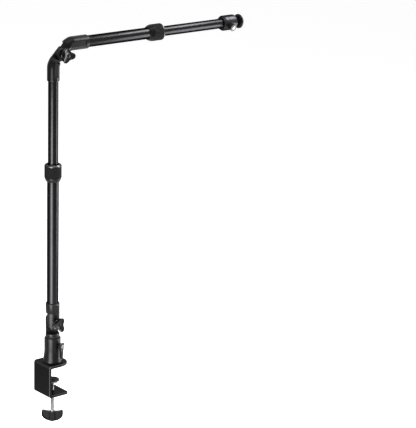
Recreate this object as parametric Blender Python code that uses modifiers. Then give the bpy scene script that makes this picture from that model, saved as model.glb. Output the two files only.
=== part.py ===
"""An overhead camera desk mount: a desk clamp, a tilting telescopic mast, an elbow, a telescopic boom and a
ball head. Metres, +Z up. The origin is on the underside of the upper jaw's pad, on the mast's axis; +X runs
along the jaws and the boom, and the knobs of the tilt hinge and the elbow face -Y."""

import math

import bmesh
import bpy
from mathutils import Vector

# Fits between pieces
GAP = 0.0003
WASHER_T = 0.0012
EYE_FACE = WASHER_T / 2 + GAP

# Clamp bracket and its pads
BRACKET_W = 0.0525
BRACKET_BACK = 0.025
UPPER_FRONT = 0.026
UPPER_ROUND = 0.022
LOWER_FRONT = 0.020
LOWER_ROUND = 0.006
BRACKET_H = 0.064
BRACKET_WALL = 0.005
BRACKET_BEND = 0.0048
PAD_T = 0.0012
DESK_T = 0.030
FOOT_R = 0.013
FOOT_RUBBER_T = 0.002
FOOT_PLATE_T = 0.0032

# Clamp screw and its butterfly knob
SPINDLE_R = 0.0035
SPINDLE_SEAT = 0.0018
SPINDLE_COLLAR_R = 0.0058
SPINDLE_COLLAR_T = 0.0020
SPINDLE_END_H = 0.006
KNOB_TOP = -0.0950
WING_SPAN = 0.0412
WING_H = 0.0205
WING_TIP_H = 0.0085
WING_T = 0.0085
WING_RIM = 0.0022
KNOB_HUB_R = 0.0064
KNOB_YAW = math.radians(-40)

# Base socket, its bolt and the swivel lock
SOCKET_H = 0.0484
SOCKET_R = 0.0157
SOCKET_FOOT_R = 0.0187
SOCKET_FLARE_H = 0.0245
SOCKET_FLOOR = 0.0195
SPIGOT_R = 0.008
BASE_BOLT_R = 0.004
BASE_BOLT_HEAD_R = 0.0075
LOCK_H = 0.034
LOCK_YAW = math.radians(-78)
LOCK_HUB_R = 0.0058
LOCK_REACH = 0.0265
LOCK_T = 0.0034
LOCK_HEAD_H = 0.0075
LOCK_LENGTH = 0.024
LOCK_SCREW_R = 0.003
LOCK_CAP_R = 0.0039

# Tilt hinge between the swivel post and the mast
HINGE_R = 0.0134
HINGE_END_R = 0.0137
HINGE_Z = 0.084
HINGE_SHOULDER = 0.0205
EYE_T = 0.0110
HINGE_BOLT_R = 0.003
BOLT_HEAD_R = 0.0045
BOLT_HEAD_T = 0.0036
MAST_SOCKET_TOP = 0.0401
MAST_SOCKET_FLOOR = 0.0240

# Telescopic tubes
OUTER_TUBE_R = 0.011
INNER_TUBE_R = 0.0095
TUBE_WALL = 0.0012
FLAT_WALL = 0.0009
LOWER_COLLAR_Z = 0.3608
LOWER_TAIL = 0.036
UPPER_COLLAR_X = 0.2150
UPPER_TAIL = 0.030
COLLAR_L = 0.0340
COLLAR_R = 0.0160
COLLAR_TAPER = 0.0078
COLLAR_RING = 0.0040
GRIP_T = 0.0011
COLLET_L = 0.0070
PLUG_L = 0.006

# Elbow
ELBOW_OFFSET = 0.0165
ELBOW_Z = 0.6006
ELBOW_BAR_R = 0.0110
ELBOW_EYE_R = 0.0128
ELBOW_SHOULDER = 0.0205
ELBOW_EYE_T = 0.0095
ELBOW_BOSS_R = 0.0124
ELBOW_BOSS_T = 0.0011
ELBOW_FOOT_Z = 0.5523
ELBOW_MOUTH_X = 0.0736
ELBOW_LOWER_R = 0.01155
ELBOW_UPPER_R = 0.01315
ELBOW_SEAT = 0.018

# Winged knobs of the two hinges
TRI_R = 0.0158
TRI_ROOT_R = 0.0090
TRI_SWELL = 1.2
TRI_HUB_R = 0.0066
TRI_WING_T = 0.0085
TILT_KNOB_DEPTH = 0.0122
ELBOW_KNOB_DEPTH = 0.0142

# Ball head
HEAD_X = 0.3968
HOUSING_R = 0.0148
HOUSING_L = 0.0335
HOUSING_BASE_T = 0.0055
HOUSING_LIP_T = 0.0014
HOUSING_DOME = 0.0048
BALL_R = 0.010
BALL_RECESS = 0.0083
BALL_MOUTH_R = 0.0085
STEM_R = 0.0037
PLATFORM_SET = 0.0172
PLATFORM_R = 0.0140
PLATFORM_T = 0.0036
PLATFORM_PAD_T = 0.0010
CAMERA_SCREW_R = 0.003175
CAMERA_SCREW_L = 0.0055
HEAD_KNOB_SET = 0.0137
HEAD_KNOB_DROP = math.radians(17)
HEAD_KNOB_R = 0.0070
HEAD_KNOB_REACH = 0.0250
HEAD_CAP_R = 0.0045
HEAD_CAP_T = 0.0012
HEAD_STUD_R = 0.0030

# Levels and places that follow from the sizes above
PLATE_UNDER = PAD_T + GAP
PLATE_TOP = PLATE_UNDER + BRACKET_WALL
JAW_FLOOR = PLATE_TOP - BRACKET_H + BRACKET_WALL
BOOM_Z = ELBOW_Z + ELBOW_OFFSET
SOCKET_TOP = PLATE_TOP + SOCKET_H
LOCK_Z = PLATE_TOP + LOCK_H
EYE_BACK = EYE_FACE + EYE_T
ELBOW_BACK = EYE_FACE + ELBOW_EYE_T
ELBOW_FRONT = ELBOW_BACK + ELBOW_BOSS_T
LOWER_TUBE_FOOT = HINGE_Z + MAST_SOCKET_FLOOR + GAP
INNER_TUBE_TOP = ELBOW_FOOT_Z + ELBOW_SEAT
UPPER_TUBE_TAIL = ELBOW_MOUTH_X - ELBOW_SEAT
BALL_X = HEAD_X + HOUSING_L - BALL_RECESS
PLATFORM_X = BALL_X + PLATFORM_SET

UPRIGHT = (0, 0, 0)
ALONG_X = (0, math.radians(90), 0)
TO_BACK = (math.radians(-90), 0, 0)
TO_FRONT = (math.radians(90), 0, 0)

LOOKS = {
    "black_paint": ((0.030, 0.030, 0.032), 0.0, 0.42),
    "anodised": ((0.035, 0.035, 0.037), 0.9, 0.36),
    "gloss_black": ((0.012, 0.012, 0.013), 0.0, 0.22),
    "gunmetal": ((0.045, 0.046, 0.050), 0.9, 0.22),
    "steel": ((0.62, 0.62, 0.62), 1.0, 0.28),
    "rubber": ((0.016, 0.016, 0.017), 0.0, 0.85),
    "nylon": ((0.030, 0.030, 0.030), 0.0, 0.55),
}

for old in list(bpy.data.objects):
    bpy.data.objects.remove(old, do_unlink=True)
parts = bpy.data.collections.new("overhead_camera_desk_mount")
cutters = bpy.data.collections.new("cutters")
bpy.context.scene.collection.children.link(parts)
bpy.context.scene.collection.children.link(cutters)
places = {}


def joint_empty(name, location, parent=None):
    """An empty on a joint's axis, which carries what that joint moves."""
    empty = bpy.data.objects.new(name, None)
    empty.empty_display_size = 0.02
    parts.objects.link(empty)
    places[name] = Vector(location)
    settle(empty, location, UPRIGHT, parent)
    return empty


def settle(obj, location, rotation, parent):
    obj.location = location
    obj.rotation_euler = rotation
    if parent:
        obj.parent = bpy.data.objects[parent]
        obj.location = Vector(location) - places[parent]


def piece(name, mesh, look, location=(0, 0, 0), rotation=UPRIGHT, parent=None):
    """A named part with its own material."""
    colour, metallic, roughness = LOOKS[look]
    material = bpy.data.materials.new(name)
    material.use_nodes = True
    shader = material.node_tree.nodes["Principled BSDF"]
    shader.inputs["Base Color"].default_value = (*colour, 1)
    shader.inputs["Metallic"].default_value = metallic
    shader.inputs["Roughness"].default_value = roughness
    mesh.shade_smooth()
    mesh.set_sharp_from_angle(angle=math.radians(35))
    obj = bpy.data.objects.new(name, mesh)
    obj.data.materials.append(material)
    parts.objects.link(obj)
    settle(obj, location, rotation, parent)
    return obj


def tool(mesh, location=(0, 0, 0), rotation=UPRIGHT):
    """A solid that only cuts or joins, left out of the part."""
    obj = bpy.data.objects.new("tool", mesh)
    obj.hide_render = True
    obj.display_type = "WIRE"
    cutters.objects.link(obj)
    obj.location = location
    obj.rotation_euler = rotation
    return obj


def shape(obj, operation, other, solver="EXACT"):
    modifier = obj.modifiers.new(operation.lower(), "BOOLEAN")
    modifier.operation = operation
    modifier.solver = solver
    modifier.object = other
    return obj


def soften(obj, width, segments=1, angle=40):
    modifier = obj.modifiers.new("edge", "BEVEL")
    modifier.width = width
    modifier.segments = segments
    modifier.limit_method = "ANGLE"
    modifier.angle_limit = math.radians(angle)
    modifier.harden_normals = False
    return obj


def turned_mesh(profile, steps=32, ring=False):
    """The mesh of a profile of (radius, height) swept round Z, given from the top down its outer side. A ring's
    profile goes on up its bore."""
    mesh = bpy.data.meshes.new("turned")
    edges = [(i, i + 1) for i in range(len(profile) - 1)]
    if ring:
        edges.append((len(profile) - 1, 0))
    mesh.from_pydata([(r, 0, z) for r, z in profile], edges, [])
    holder = bpy.data.objects.new("holder", mesh)
    bpy.context.scene.collection.objects.link(holder)
    screw = holder.modifiers.new("turn", "SCREW")
    screw.steps = steps
    screw.render_steps = steps
    screw.use_merge_vertices = True
    screw.merge_threshold = 0.00001
    return baked(holder)


def baked(holder):
    """The mesh that an object evaluates to, its loose caps welded; the object is removed."""
    bpy.context.view_layer.update()
    graph = bpy.context.evaluated_depsgraph_get()
    mesh = bpy.data.meshes.new_from_object(holder.evaluated_get(graph))
    bpy.data.objects.remove(holder, do_unlink=True)
    return welded(mesh)


def welded(mesh):
    work = bmesh.new()
    work.from_mesh(mesh)
    bmesh.ops.remove_doubles(work, verts=work.verts, dist=0.000001)
    bmesh.ops.recalc_face_normals(work, faces=work.faces)
    work.to_mesh(mesh)
    work.free()
    return mesh


def box_mesh(low, high):
    mesh = bpy.data.meshes.new("box")
    work = bmesh.new()
    bmesh.ops.create_cube(work, size=1)
    for vert in work.verts:
        vert.co = [l + (h - l) * (c + 0.5) for l, h, c in zip(low, high, vert.co)]
    work.to_mesh(mesh)
    work.free()
    return mesh


def rod_mesh(radius, low, high, steps=32, tip=None):
    """A cylinder along Z; with a tip it ends in a cone frustum of that radius."""
    mesh = bpy.data.meshes.new("rod")
    work = bmesh.new()
    bmesh.ops.create_cone(
        work,
        cap_ends=True,
        segments=steps,
        radius1=radius,
        radius2=radius if tip is None else tip,
        depth=high - low,
    )
    bmesh.ops.translate(work, verts=work.verts, vec=(0, 0, (low + high) / 2))
    work.to_mesh(mesh)
    work.free()
    return mesh


def plate_mesh(outline, low, high):
    """A flat outline in XY made as thick as from low to high along Z."""
    curve = bpy.data.curves.new("outline", "CURVE")
    curve.dimensions = "2D"
    curve.fill_mode = "BOTH"
    curve.extrude = (high - low) / 2
    spline = curve.splines.new("POLY")
    spline.points.add(len(outline) - 1)
    for point, (x, y) in zip(spline.points, outline):
        point.co = (x, y, 0, 1)
    spline.use_cyclic_u = True
    holder = bpy.data.objects.new("holder", curve)
    bpy.context.scene.collection.objects.link(holder)
    mesh = baked(holder)
    for vert in mesh.vertices:
        vert.co.z += (low + high) / 2
    return mesh


def neck_mesh(points, radii, resolution=6):
    """A round bar through the points, its radius changing along them."""
    curve = bpy.data.curves.new("neck", "CURVE")
    curve.dimensions = "3D"
    curve.bevel_depth = 1
    curve.bevel_resolution = resolution
    curve.use_fill_caps = True
    spline = curve.splines.new("POLY")
    spline.points.add(len(points) - 1)
    for point, place, radius in zip(spline.points, points, radii):
        point.co = (*place, 1)
        point.radius = radius
    holder = bpy.data.objects.new("holder", curve)
    bpy.context.scene.collection.objects.link(holder)
    return baked(holder)


def arc(cx, cy, radius, start, end, count):
    """Points on a circle, angles in degrees, both ends kept."""
    out = []
    for i in range(count + 1):
        a = math.radians(start + (end - start) * i / count)
        out.append((cx + radius * math.cos(a), cy + radius * math.sin(a)))
    return out


def drilled(obj, radius, low, high, location, rotation, steps=32):
    return shape(obj, "DIFFERENCE", tool(rod_mesh(radius, low, high, steps), location, rotation))


# Clamp: a bent bar, a thin rubber pad under its upper jaw, and the cast base socket bolted on top
def bracket_outline():
    """The C of the bent bar seen from its side: round bends at the spine, square jaw ends."""
    back, front = -BRACKET_BACK, UPPER_FRONT
    top, low, t, bend = PLATE_TOP, PLATE_TOP - BRACKET_H, BRACKET_WALL, BRACKET_BEND
    inner = 0.0018
    out = [(front, top)]
    out += arc(back + bend, top - bend, bend, 90, 180, 6)
    out += arc(back + bend, low + bend, bend, 180, 270, 6)
    out += [(front, low), (front, low + t)]
    out += arc(back + t + inner, low + t + inner, inner, 270, 180, 4)
    out += arc(back + t + inner, top - t - inner, inner, 180, 90, 4)
    out += [(front, top - t)]
    return out


def jaw_outline(inset=0.0, back=-BRACKET_BACK - 0.01):
    """The upper jaw seen from above: its front is a wide round."""
    half, front, r = BRACKET_W / 2 - inset, UPPER_FRONT - inset, UPPER_ROUND - inset
    out = [(back, -half)]
    out += arc(front - r, -half + r, r, -90, 0, 9)
    out += arc(front - r, half - r, r, 0, 90, 9)
    out += [(back, half)]
    return out


def lower_jaw_waste():
    """What is cut off the bar to leave the shorter lower jaw with its two rounded corners, seen from above."""
    half, front, r = BRACKET_W / 2, LOWER_FRONT, LOWER_ROUND
    start = 80
    reach = front - r + r * math.cos(math.radians(start))
    out = arc(front - r, half - r, r, start, 0, 5) + arc(front - r, -half + r, r, 0, -start, 5)
    out += [(reach, -half - 0.01), (UPPER_FRONT + 0.01, -half - 0.01)]
    out += [(UPPER_FRONT + 0.01, half + 0.01), (reach, half + 0.01)]
    return out[::-1]


bracket = piece(
    "clamp_bracket",
    plate_mesh(bracket_outline(), -BRACKET_W / 2 - 0.001, BRACKET_W / 2 + 0.001),
    "black_paint",
    rotation=TO_FRONT,
)
shape(bracket, "INTERSECT", tool(plate_mesh(jaw_outline(), -0.08, 0.02)))
shape(bracket, "DIFFERENCE", tool(plate_mesh(lower_jaw_waste(), -0.08, -0.02)))
soften(bracket, 0.0006, 1, 50)
drilled(bracket, BASE_BOLT_R + GAP, PLATE_UNDER - 0.001, PLATE_TOP + 0.001, (0, 0, 0), UPRIGHT)
HEAD_SLOPE = BASE_BOLT_HEAD_R - BASE_BOLT_R
shape(
    bracket,
    "DIFFERENCE",
    tool(
        rod_mesh(
            BASE_BOLT_HEAD_R + 2 * GAP + 0.001,
            PLATE_UNDER - 0.001,
            PLATE_UNDER + HEAD_SLOPE + GAP,
            32,
            BASE_BOLT_R + GAP,
        )
    ),
)
drilled(bracket, SPINDLE_R + GAP, JAW_FLOOR - BRACKET_WALL - 0.001, JAW_FLOOR + 0.001, (0, 0, 0), UPRIGHT, 24)

pad = piece(
    "upper_jaw_pad",
    plate_mesh(jaw_outline(0.003, -BRACKET_BACK + BRACKET_WALL + 0.003), 0, PAD_T),
    "rubber",
)

flare = []
for i in range(6):
    share = i / 5
    flare.append(
        (
            SOCKET_R + (SOCKET_FOOT_R - SOCKET_R) * share**1.6,
            PLATE_TOP + SOCKET_FLARE_H + (GAP + 0.0008 - SOCKET_FLARE_H) * share,
        )
    )
base_socket = piece(
    "base_socket",
    turned_mesh(
        [(SPIGOT_R + GAP, SOCKET_TOP), (SOCKET_R - 0.0006, SOCKET_TOP), (SOCKET_R, SOCKET_TOP - 0.0006)]
        + flare
        + [
            (SOCKET_FOOT_R, PLATE_TOP + GAP),
            (BASE_BOLT_R + GAP, PLATE_TOP + GAP),
            (BASE_BOLT_R + GAP, PLATE_TOP + SOCKET_FLOOR),
            (SPIGOT_R + GAP, PLATE_TOP + SOCKET_FLOOR),
        ],
        36,
        True,
    ),
    "black_paint",
)
drilled(
    base_socket,
    LOCK_SCREW_R + GAP,
    SPIGOT_R - 0.002,
    SOCKET_FOOT_R + 0.004,
    (0, 0, LOCK_Z),
    (0, math.radians(90), LOCK_YAW),
    24,
)
shape(
    base_socket,
    "DIFFERENCE",
    tool(
        rod_mesh(LOCK_HUB_R + 0.0006, SOCKET_R - 0.0005, SOCKET_FOOT_R + 0.004, 32),
        (0, 0, LOCK_Z),
        (0, math.radians(90), LOCK_YAW),
    ),
)

head_low = PLATE_UNDER + GAP
base_bolt = piece(
    "base_bolt",
    turned_mesh(
        [
            (0, PLATE_TOP + SOCKET_FLOOR - 0.003),
            (BASE_BOLT_R - 0.0006, PLATE_TOP + SOCKET_FLOOR - 0.003),
            (BASE_BOLT_R, PLATE_TOP + SOCKET_FLOOR - 0.0036),
            (BASE_BOLT_R, head_low + HEAD_SLOPE),
            (BASE_BOLT_HEAD_R, head_low),
            (0.0024, head_low),
            (0.0024, head_low + 0.0022),
            (0, head_low + 0.0022),
        ],
        24,
    ),
    "steel",
)

# Clamp foot: a pressure plate with a rubber face, pushed up by the screw, which a butterfly knob turns
foot_top = -DESK_T
joint_empty("foot_axis", (0, 0, foot_top))
joint_empty("spindle_axis", (0, 0, foot_top), "foot_axis")
foot_rubber = piece(
    "pressure_pad",
    turned_mesh(
        [
            (0, foot_top),
            (FOOT_R - 0.0008, foot_top),
            (FOOT_R, foot_top - 0.0008),
            (FOOT_R, foot_top - FOOT_RUBBER_T),
            (0, foot_top - FOOT_RUBBER_T),
        ],
        36,
    ),
    "rubber",
    parent="foot_axis",
    location=(0, 0, 0),
)
plate_top = foot_top - FOOT_RUBBER_T - GAP
plate_low = plate_top - FOOT_PLATE_T
foot_plate = piece(
    "pressure_plate",
    turned_mesh(
        [
            (0, plate_top),
            (FOOT_R, plate_top),
            (FOOT_R, plate_low + 0.0014),
            (FOOT_R - 0.0014, plate_low),
            (SPINDLE_R + GAP, plate_low),
            (SPINDLE_R + GAP, plate_low + SPINDLE_SEAT),
            (0, plate_low + SPINDLE_SEAT),
        ],
        36,
    ),
    "steel",
    parent="foot_axis",
)
spindle_foot = KNOB_TOP - WING_H + SPINDLE_END_H
spindle = piece(
    "clamp_screw",
    turned_mesh(
        [
            (0, plate_low + SPINDLE_SEAT - GAP),
            (SPINDLE_R, plate_low + SPINDLE_SEAT - GAP),
            (SPINDLE_R, plate_low - GAP),
            (SPINDLE_COLLAR_R, plate_low - GAP),
            (SPINDLE_COLLAR_R, plate_low - GAP - SPINDLE_COLLAR_T),
            (SPINDLE_R, plate_low - GAP - SPINDLE_COLLAR_T),
            (SPINDLE_R, spindle_foot),
            (0, spindle_foot),
        ],
        24,
    ),
    "steel",
    parent="spindle_axis",
)


def wing_outline(inset, inner):
    """One side of the butterfly in its own plane, x outwards from inner: a nearly straight top, a short tip and an
    elliptic lower edge, all drawn in by the inset."""
    half = WING_SPAN / 2 - inset
    top = KNOB_TOP - inset
    waist = KNOB_TOP - WING_TIP_H + 0.002
    depth = WING_H - WING_TIP_H + 0.002 - inset
    out = []
    for i in range(9):
        a = math.radians(90) * i / 8
        x = half * math.sin(a)
        if x >= inner:
            out.append((x, waist - depth * math.cos(a)))
    out.insert(0, (inner, waist - depth * math.sqrt(1 - (inner / half) ** 2)))
    corner = 0.0028
    out += arc(half - corner, top - corner + 0.0006, corner, 0, 80, 4)
    out.append((inner + (half - inner) * 0.45, top - 0.0011))
    out.append((inner, top - 0.0013))
    return out


right = wing_outline(0, 0)
right = [p for p in right if p[0] > 0.0001]
outline = [(0, KNOB_TOP - WING_H)] + right + [(0, KNOB_TOP - 0.0014)] + [(-x, z) for x, z in reversed(right)]
knob = piece(
    "clamp_knob",
    plate_mesh(outline, -WING_T / 2, WING_T / 2),
    "gloss_black",
    rotation=(math.radians(90), 0, KNOB_YAW),
    parent="spindle_axis",
)
pocket = wing_outline(WING_RIM, KNOB_HUB_R + 0.0012)
soften(knob, 0.0007, 1, 50)
for side in (1, -1):
    for face in (1, -1):
        points = [(side * x, z) for x, z in pocket]
        if side < 0:
            points.reverse()
        low, high = (0.0018, 0.02) if face > 0 else (-0.02, -0.0018)
        shape(knob, "DIFFERENCE", tool(plate_mesh(points, low, high), rotation=(math.radians(90), 0, KNOB_YAW)))
hub = turned_mesh(
    [
        (0, KNOB_TOP + 0.0012),
        (KNOB_HUB_R - 0.0008, KNOB_TOP + 0.0012),
        (KNOB_HUB_R, KNOB_TOP + 0.0004),
        (KNOB_HUB_R, KNOB_TOP - WING_H + 0.0030),
        (KNOB_HUB_R - 0.0020, KNOB_TOP - WING_H + 0.0008),
        (0, KNOB_TOP - WING_H + 0.0008),
    ],
    32,
)
shape(knob, "UNION", tool(hub))
drilled(knob, SPINDLE_R + GAP, spindle_foot - GAP, KNOB_TOP + 0.01, (0, 0, 0), UPRIGHT, 24)

# Swivel lock: a lever on a steel screw that bears on the post inside the base socket
joint_empty("lock_axis", (0, 0, LOCK_Z))
lever_dir = (math.radians(90), 0, LOCK_YAW + math.radians(90))
tip_w, root_w, end = 0.0027, 0.0034, -LOCK_LENGTH
round_r = 0.0022
lever_outline = arc(LOCK_HUB_R - round_r, LOCK_HEAD_H - round_r, round_r, 0, 90, 3)
lever_outline += arc(-LOCK_HUB_R + round_r, LOCK_HEAD_H - round_r, round_r, 90, 180, 3)
lever_outline += arc(0, 0, LOCK_HUB_R, 180, 215, 3)
lever_outline += [(-root_w, -0.0080)]
lever_outline += arc(0, end + tip_w, tip_w, 180, 360, 6)
lever_outline += [(root_w, -0.0080)]
lever_outline += arc(0, 0, LOCK_HUB_R, -35, 0, 3)
lever_in = LOCK_REACH - 0.0014 - LOCK_T
lever = piece(
    "lock_lever",
    plate_mesh(lever_outline, lever_in, LOCK_REACH - 0.0014),
    "gloss_black",
    (0, 0, LOCK_Z),
    lever_dir,
    "lock_axis",
)
soften(lever, 0.0006, 1, 50)
shape(
    lever,
    "UNION",
    tool(rod_mesh(LOCK_HUB_R - 0.0004, SOCKET_R + GAP, LOCK_REACH - 0.0022, 28), (0, 0, LOCK_Z), lever_dir),
)
drilled(lever, LOCK_SCREW_R + GAP, SOCKET_R - 0.002, LOCK_REACH + 0.002, (0, 0, LOCK_Z), lever_dir, 24)
cap_low = LOCK_REACH - 0.0014 + GAP
lock_screw = piece(
    "lock_screw",
    turned_mesh(
        [
            (0, LOCK_REACH),
            (LOCK_CAP_R - 0.0004, LOCK_REACH),
            (LOCK_CAP_R, LOCK_REACH - 0.0004),
            (LOCK_CAP_R, cap_low),
            (LOCK_SCREW_R, cap_low),
            (LOCK_SCREW_R, SPIGOT_R + GAP),
            (0, SPIGOT_R + GAP),
        ],
        24,
    ),
    "steel",
    (0, 0, LOCK_Z),
    lever_dir,
    "lock_axis",
)


# Tilt hinge: the swivel post and the mast socket meet as a half lap on a bolt, with a washer between them
def past_end(radius, turn):
    """What lies past a bar's half-round end: a thick plate whose edge hollow is the end itself. At a turn of 0 the
    bar ends upwards, and a positive turn leans its end towards +X."""
    far = 0.03
    mesh = plate_mesh(arc(0, 0, radius, 180, 0, 20) + [(far, 0), (far, far), (-far, far), (-far, 0)], -far, far)
    for vert in mesh.vertices:
        x, y = vert.co.x, vert.co.y
        vert.co.x = x * math.cos(turn) + y * math.sin(turn)
        vert.co.y = -x * math.sin(turn) + y * math.cos(turn)
    return mesh


joint_empty("swivel_axis", (0, 0, SOCKET_TOP))
hinge_low = HINGE_Z - HINGE_SHOULDER
post = piece(
    "swivel_post",
    turned_mesh(
        [
            (0, HINGE_Z + HINGE_END_R + 0.002),
            (HINGE_R, HINGE_Z + HINGE_END_R + 0.002),
            (HINGE_R, SOCKET_TOP + GAP),
            (SPIGOT_R, SOCKET_TOP + GAP),
            (SPIGOT_R, PLATE_TOP + SOCKET_FLOOR + GAP + 0.001),
            (SPIGOT_R - 0.001, PLATE_TOP + SOCKET_FLOOR + GAP),
            (0, PLATE_TOP + SOCKET_FLOOR + GAP),
        ],
        36,
    ),
    "black_paint",
    parent="swivel_axis",
)
shape(post, "DIFFERENCE", tool(past_end(HINGE_END_R, 0), (0, 0, HINGE_Z), TO_FRONT))
shape(post, "DIFFERENCE", tool(box_mesh((-0.03, -0.03, hinge_low), (0.03, EYE_FACE, HINGE_Z + 0.03))))
shape(post, "DIFFERENCE", tool(box_mesh((-0.03, EYE_BACK, hinge_low - 0.004), (0.03, 0.03, HINGE_Z + 0.03))))
drilled(post, HINGE_BOLT_R + GAP, -0.03, 0.03, (0, 0, HINGE_Z), TO_BACK, 24)


def hinge_bolt(name, place, back, front, depth, parent):
    """The bolt of a half-lap hinge: its domed head behind the back eye, its end in the knob before the front one."""
    head = back + GAP
    end = -front - GAP - depth + 0.004
    return piece(
        name,
        turned_mesh(
            [
                (0, head + BOLT_HEAD_T),
                (BOLT_HEAD_R - 0.0010, head + BOLT_HEAD_T),
                (BOLT_HEAD_R, head + BOLT_HEAD_T - 0.0010),
                (BOLT_HEAD_R, head),
                (HINGE_BOLT_R, head),
                (HINGE_BOLT_R, end),
                (0, end),
            ],
            24,
        ),
        "steel",
        place,
        TO_BACK,
        parent,
    )


def hinge_washer(name, place, radius, parent):
    return piece(
        name,
        turned_mesh(
            [
                (HINGE_BOLT_R + GAP, WASHER_T / 2),
                (radius, WASHER_T / 2),
                (radius, -WASHER_T / 2),
                (HINGE_BOLT_R + GAP, -WASHER_T / 2),
            ],
            32,
            True,
        ),
        "nylon",
        place,
        TO_BACK,
        parent,
    )


def tri_outline(tip):
    """Three rounded lobes with hollows between them, as a radius that swells three times round."""
    out = []
    for i in range(42):
        a = math.tau * i / 42
        swell = ((1 + math.cos(3 * a)) / 2) ** TRI_SWELL
        radius = TRI_ROOT_R + (tip - TRI_ROOT_R) * swell
        out.append((radius * math.cos(a), radius * math.sin(a)))
    return out


def tri_knob(name, place, front, depth, turn, parent):
    """A three-winged knob: a round hub on the hinge's front face and wings that flare away from it."""
    foot = front + GAP
    mesh = plate_mesh(tri_outline(TRI_R), 0, TRI_WING_T)
    for vert in mesh.vertices:
        if vert.co.z < 0.001:
            vert.co.x *= 0.80
            vert.co.y *= 0.80
        vert.co.z += foot + depth - TRI_WING_T
    rotation = (math.radians(90), 0, 0)
    for vert in mesh.vertices:
        x, y = vert.co.x, vert.co.y
        vert.co.x = x * math.cos(turn) - y * math.sin(turn)
        vert.co.y = x * math.sin(turn) + y * math.cos(turn)
    obj = piece(name, mesh, "gloss_black", place, rotation, parent)
    soften(obj, 0.0007, 1, 50)
    hub = turned_mesh(
        [
            (0, foot + depth - 0.002),
            (TRI_HUB_R - 0.0008, foot + depth - 0.002),
            (TRI_HUB_R, foot + depth - 0.0028),
            (TRI_HUB_R, foot + 0.001),
            (TRI_HUB_R + 0.0014, foot),
            (0, foot),
        ],
        24,
    )
    shape(obj, "UNION", tool(hub, place, rotation), "MANIFOLD")
    hole = rod_mesh(HINGE_BOLT_R + GAP, -0.02, foot + depth - 0.004 + GAP, 20)
    shape(obj, "DIFFERENCE", tool(hole, place, rotation), "MANIFOLD")
    return obj


hinge = (0, 0, HINGE_Z)
joint_empty("tilt_axis", hinge, "swivel_axis")
joint_empty("tilt_knob_axis", hinge, "tilt_axis")
hinge_bolt("tilt_bolt", hinge, EYE_BACK, EYE_BACK, TILT_KNOB_DEPTH, "swivel_axis")
hinge_washer("tilt_washer", hinge, HINGE_R - 0.0014, "swivel_axis")
tri_knob("tilt_knob", hinge, EYE_BACK, TILT_KNOB_DEPTH, math.radians(60), "tilt_knob_axis")

mast_top = HINGE_Z + MAST_SOCKET_TOP
mast_socket = piece(
    "mast_socket",
    turned_mesh(
        [
            (0, HINGE_Z + MAST_SOCKET_FLOOR),
            (OUTER_TUBE_R + GAP, HINGE_Z + MAST_SOCKET_FLOOR),
            (OUTER_TUBE_R + GAP, mast_top),
            (HINGE_R - 0.0014, mast_top),
            (HINGE_R, mast_top - 0.0014),
            (HINGE_R, HINGE_Z - HINGE_END_R - 0.002),
            (0, HINGE_Z - HINGE_END_R - 0.002),
        ],
        36,
    ),
    "black_paint",
    parent="tilt_axis",
)
shape(mast_socket, "DIFFERENCE", tool(past_end(HINGE_END_R, math.pi), (0, 0, HINGE_Z), TO_FRONT))
shape(
    mast_socket,
    "DIFFERENCE",
    tool(box_mesh((-0.03, -EYE_FACE, HINGE_Z - 0.03), (0.03, 0.03, HINGE_Z + HINGE_SHOULDER))),
)
shape(mast_socket, "DIFFERENCE", tool(box_mesh((-0.03, -0.03, HINGE_Z - 0.03), (0.03, -EYE_BACK, mast_top - 0.004))))
drilled(mast_socket, HINGE_BOLT_R + GAP, -0.03, 0.03, (0, 0, HINGE_Z), TO_BACK, 24)


# Telescopes: an outer tube, a twist collar with its grip, ring and collet, and an inner tube that slides in it
def tube(name, radius, low, high, place, rotation, parent):
    bore = radius - TUBE_WALL
    return piece(
        name,
        turned_mesh([(bore, high), (radius, high), (radius, low), (bore, low)], 32, True),
        "anodised",
        place,
        rotation,
        parent,
    )


collar_seat = COLLAR_L - COLLAR_RING - GAP
tube_end = COLLAR_L - COLLAR_RING - COLLET_L - 3 * GAP


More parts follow.
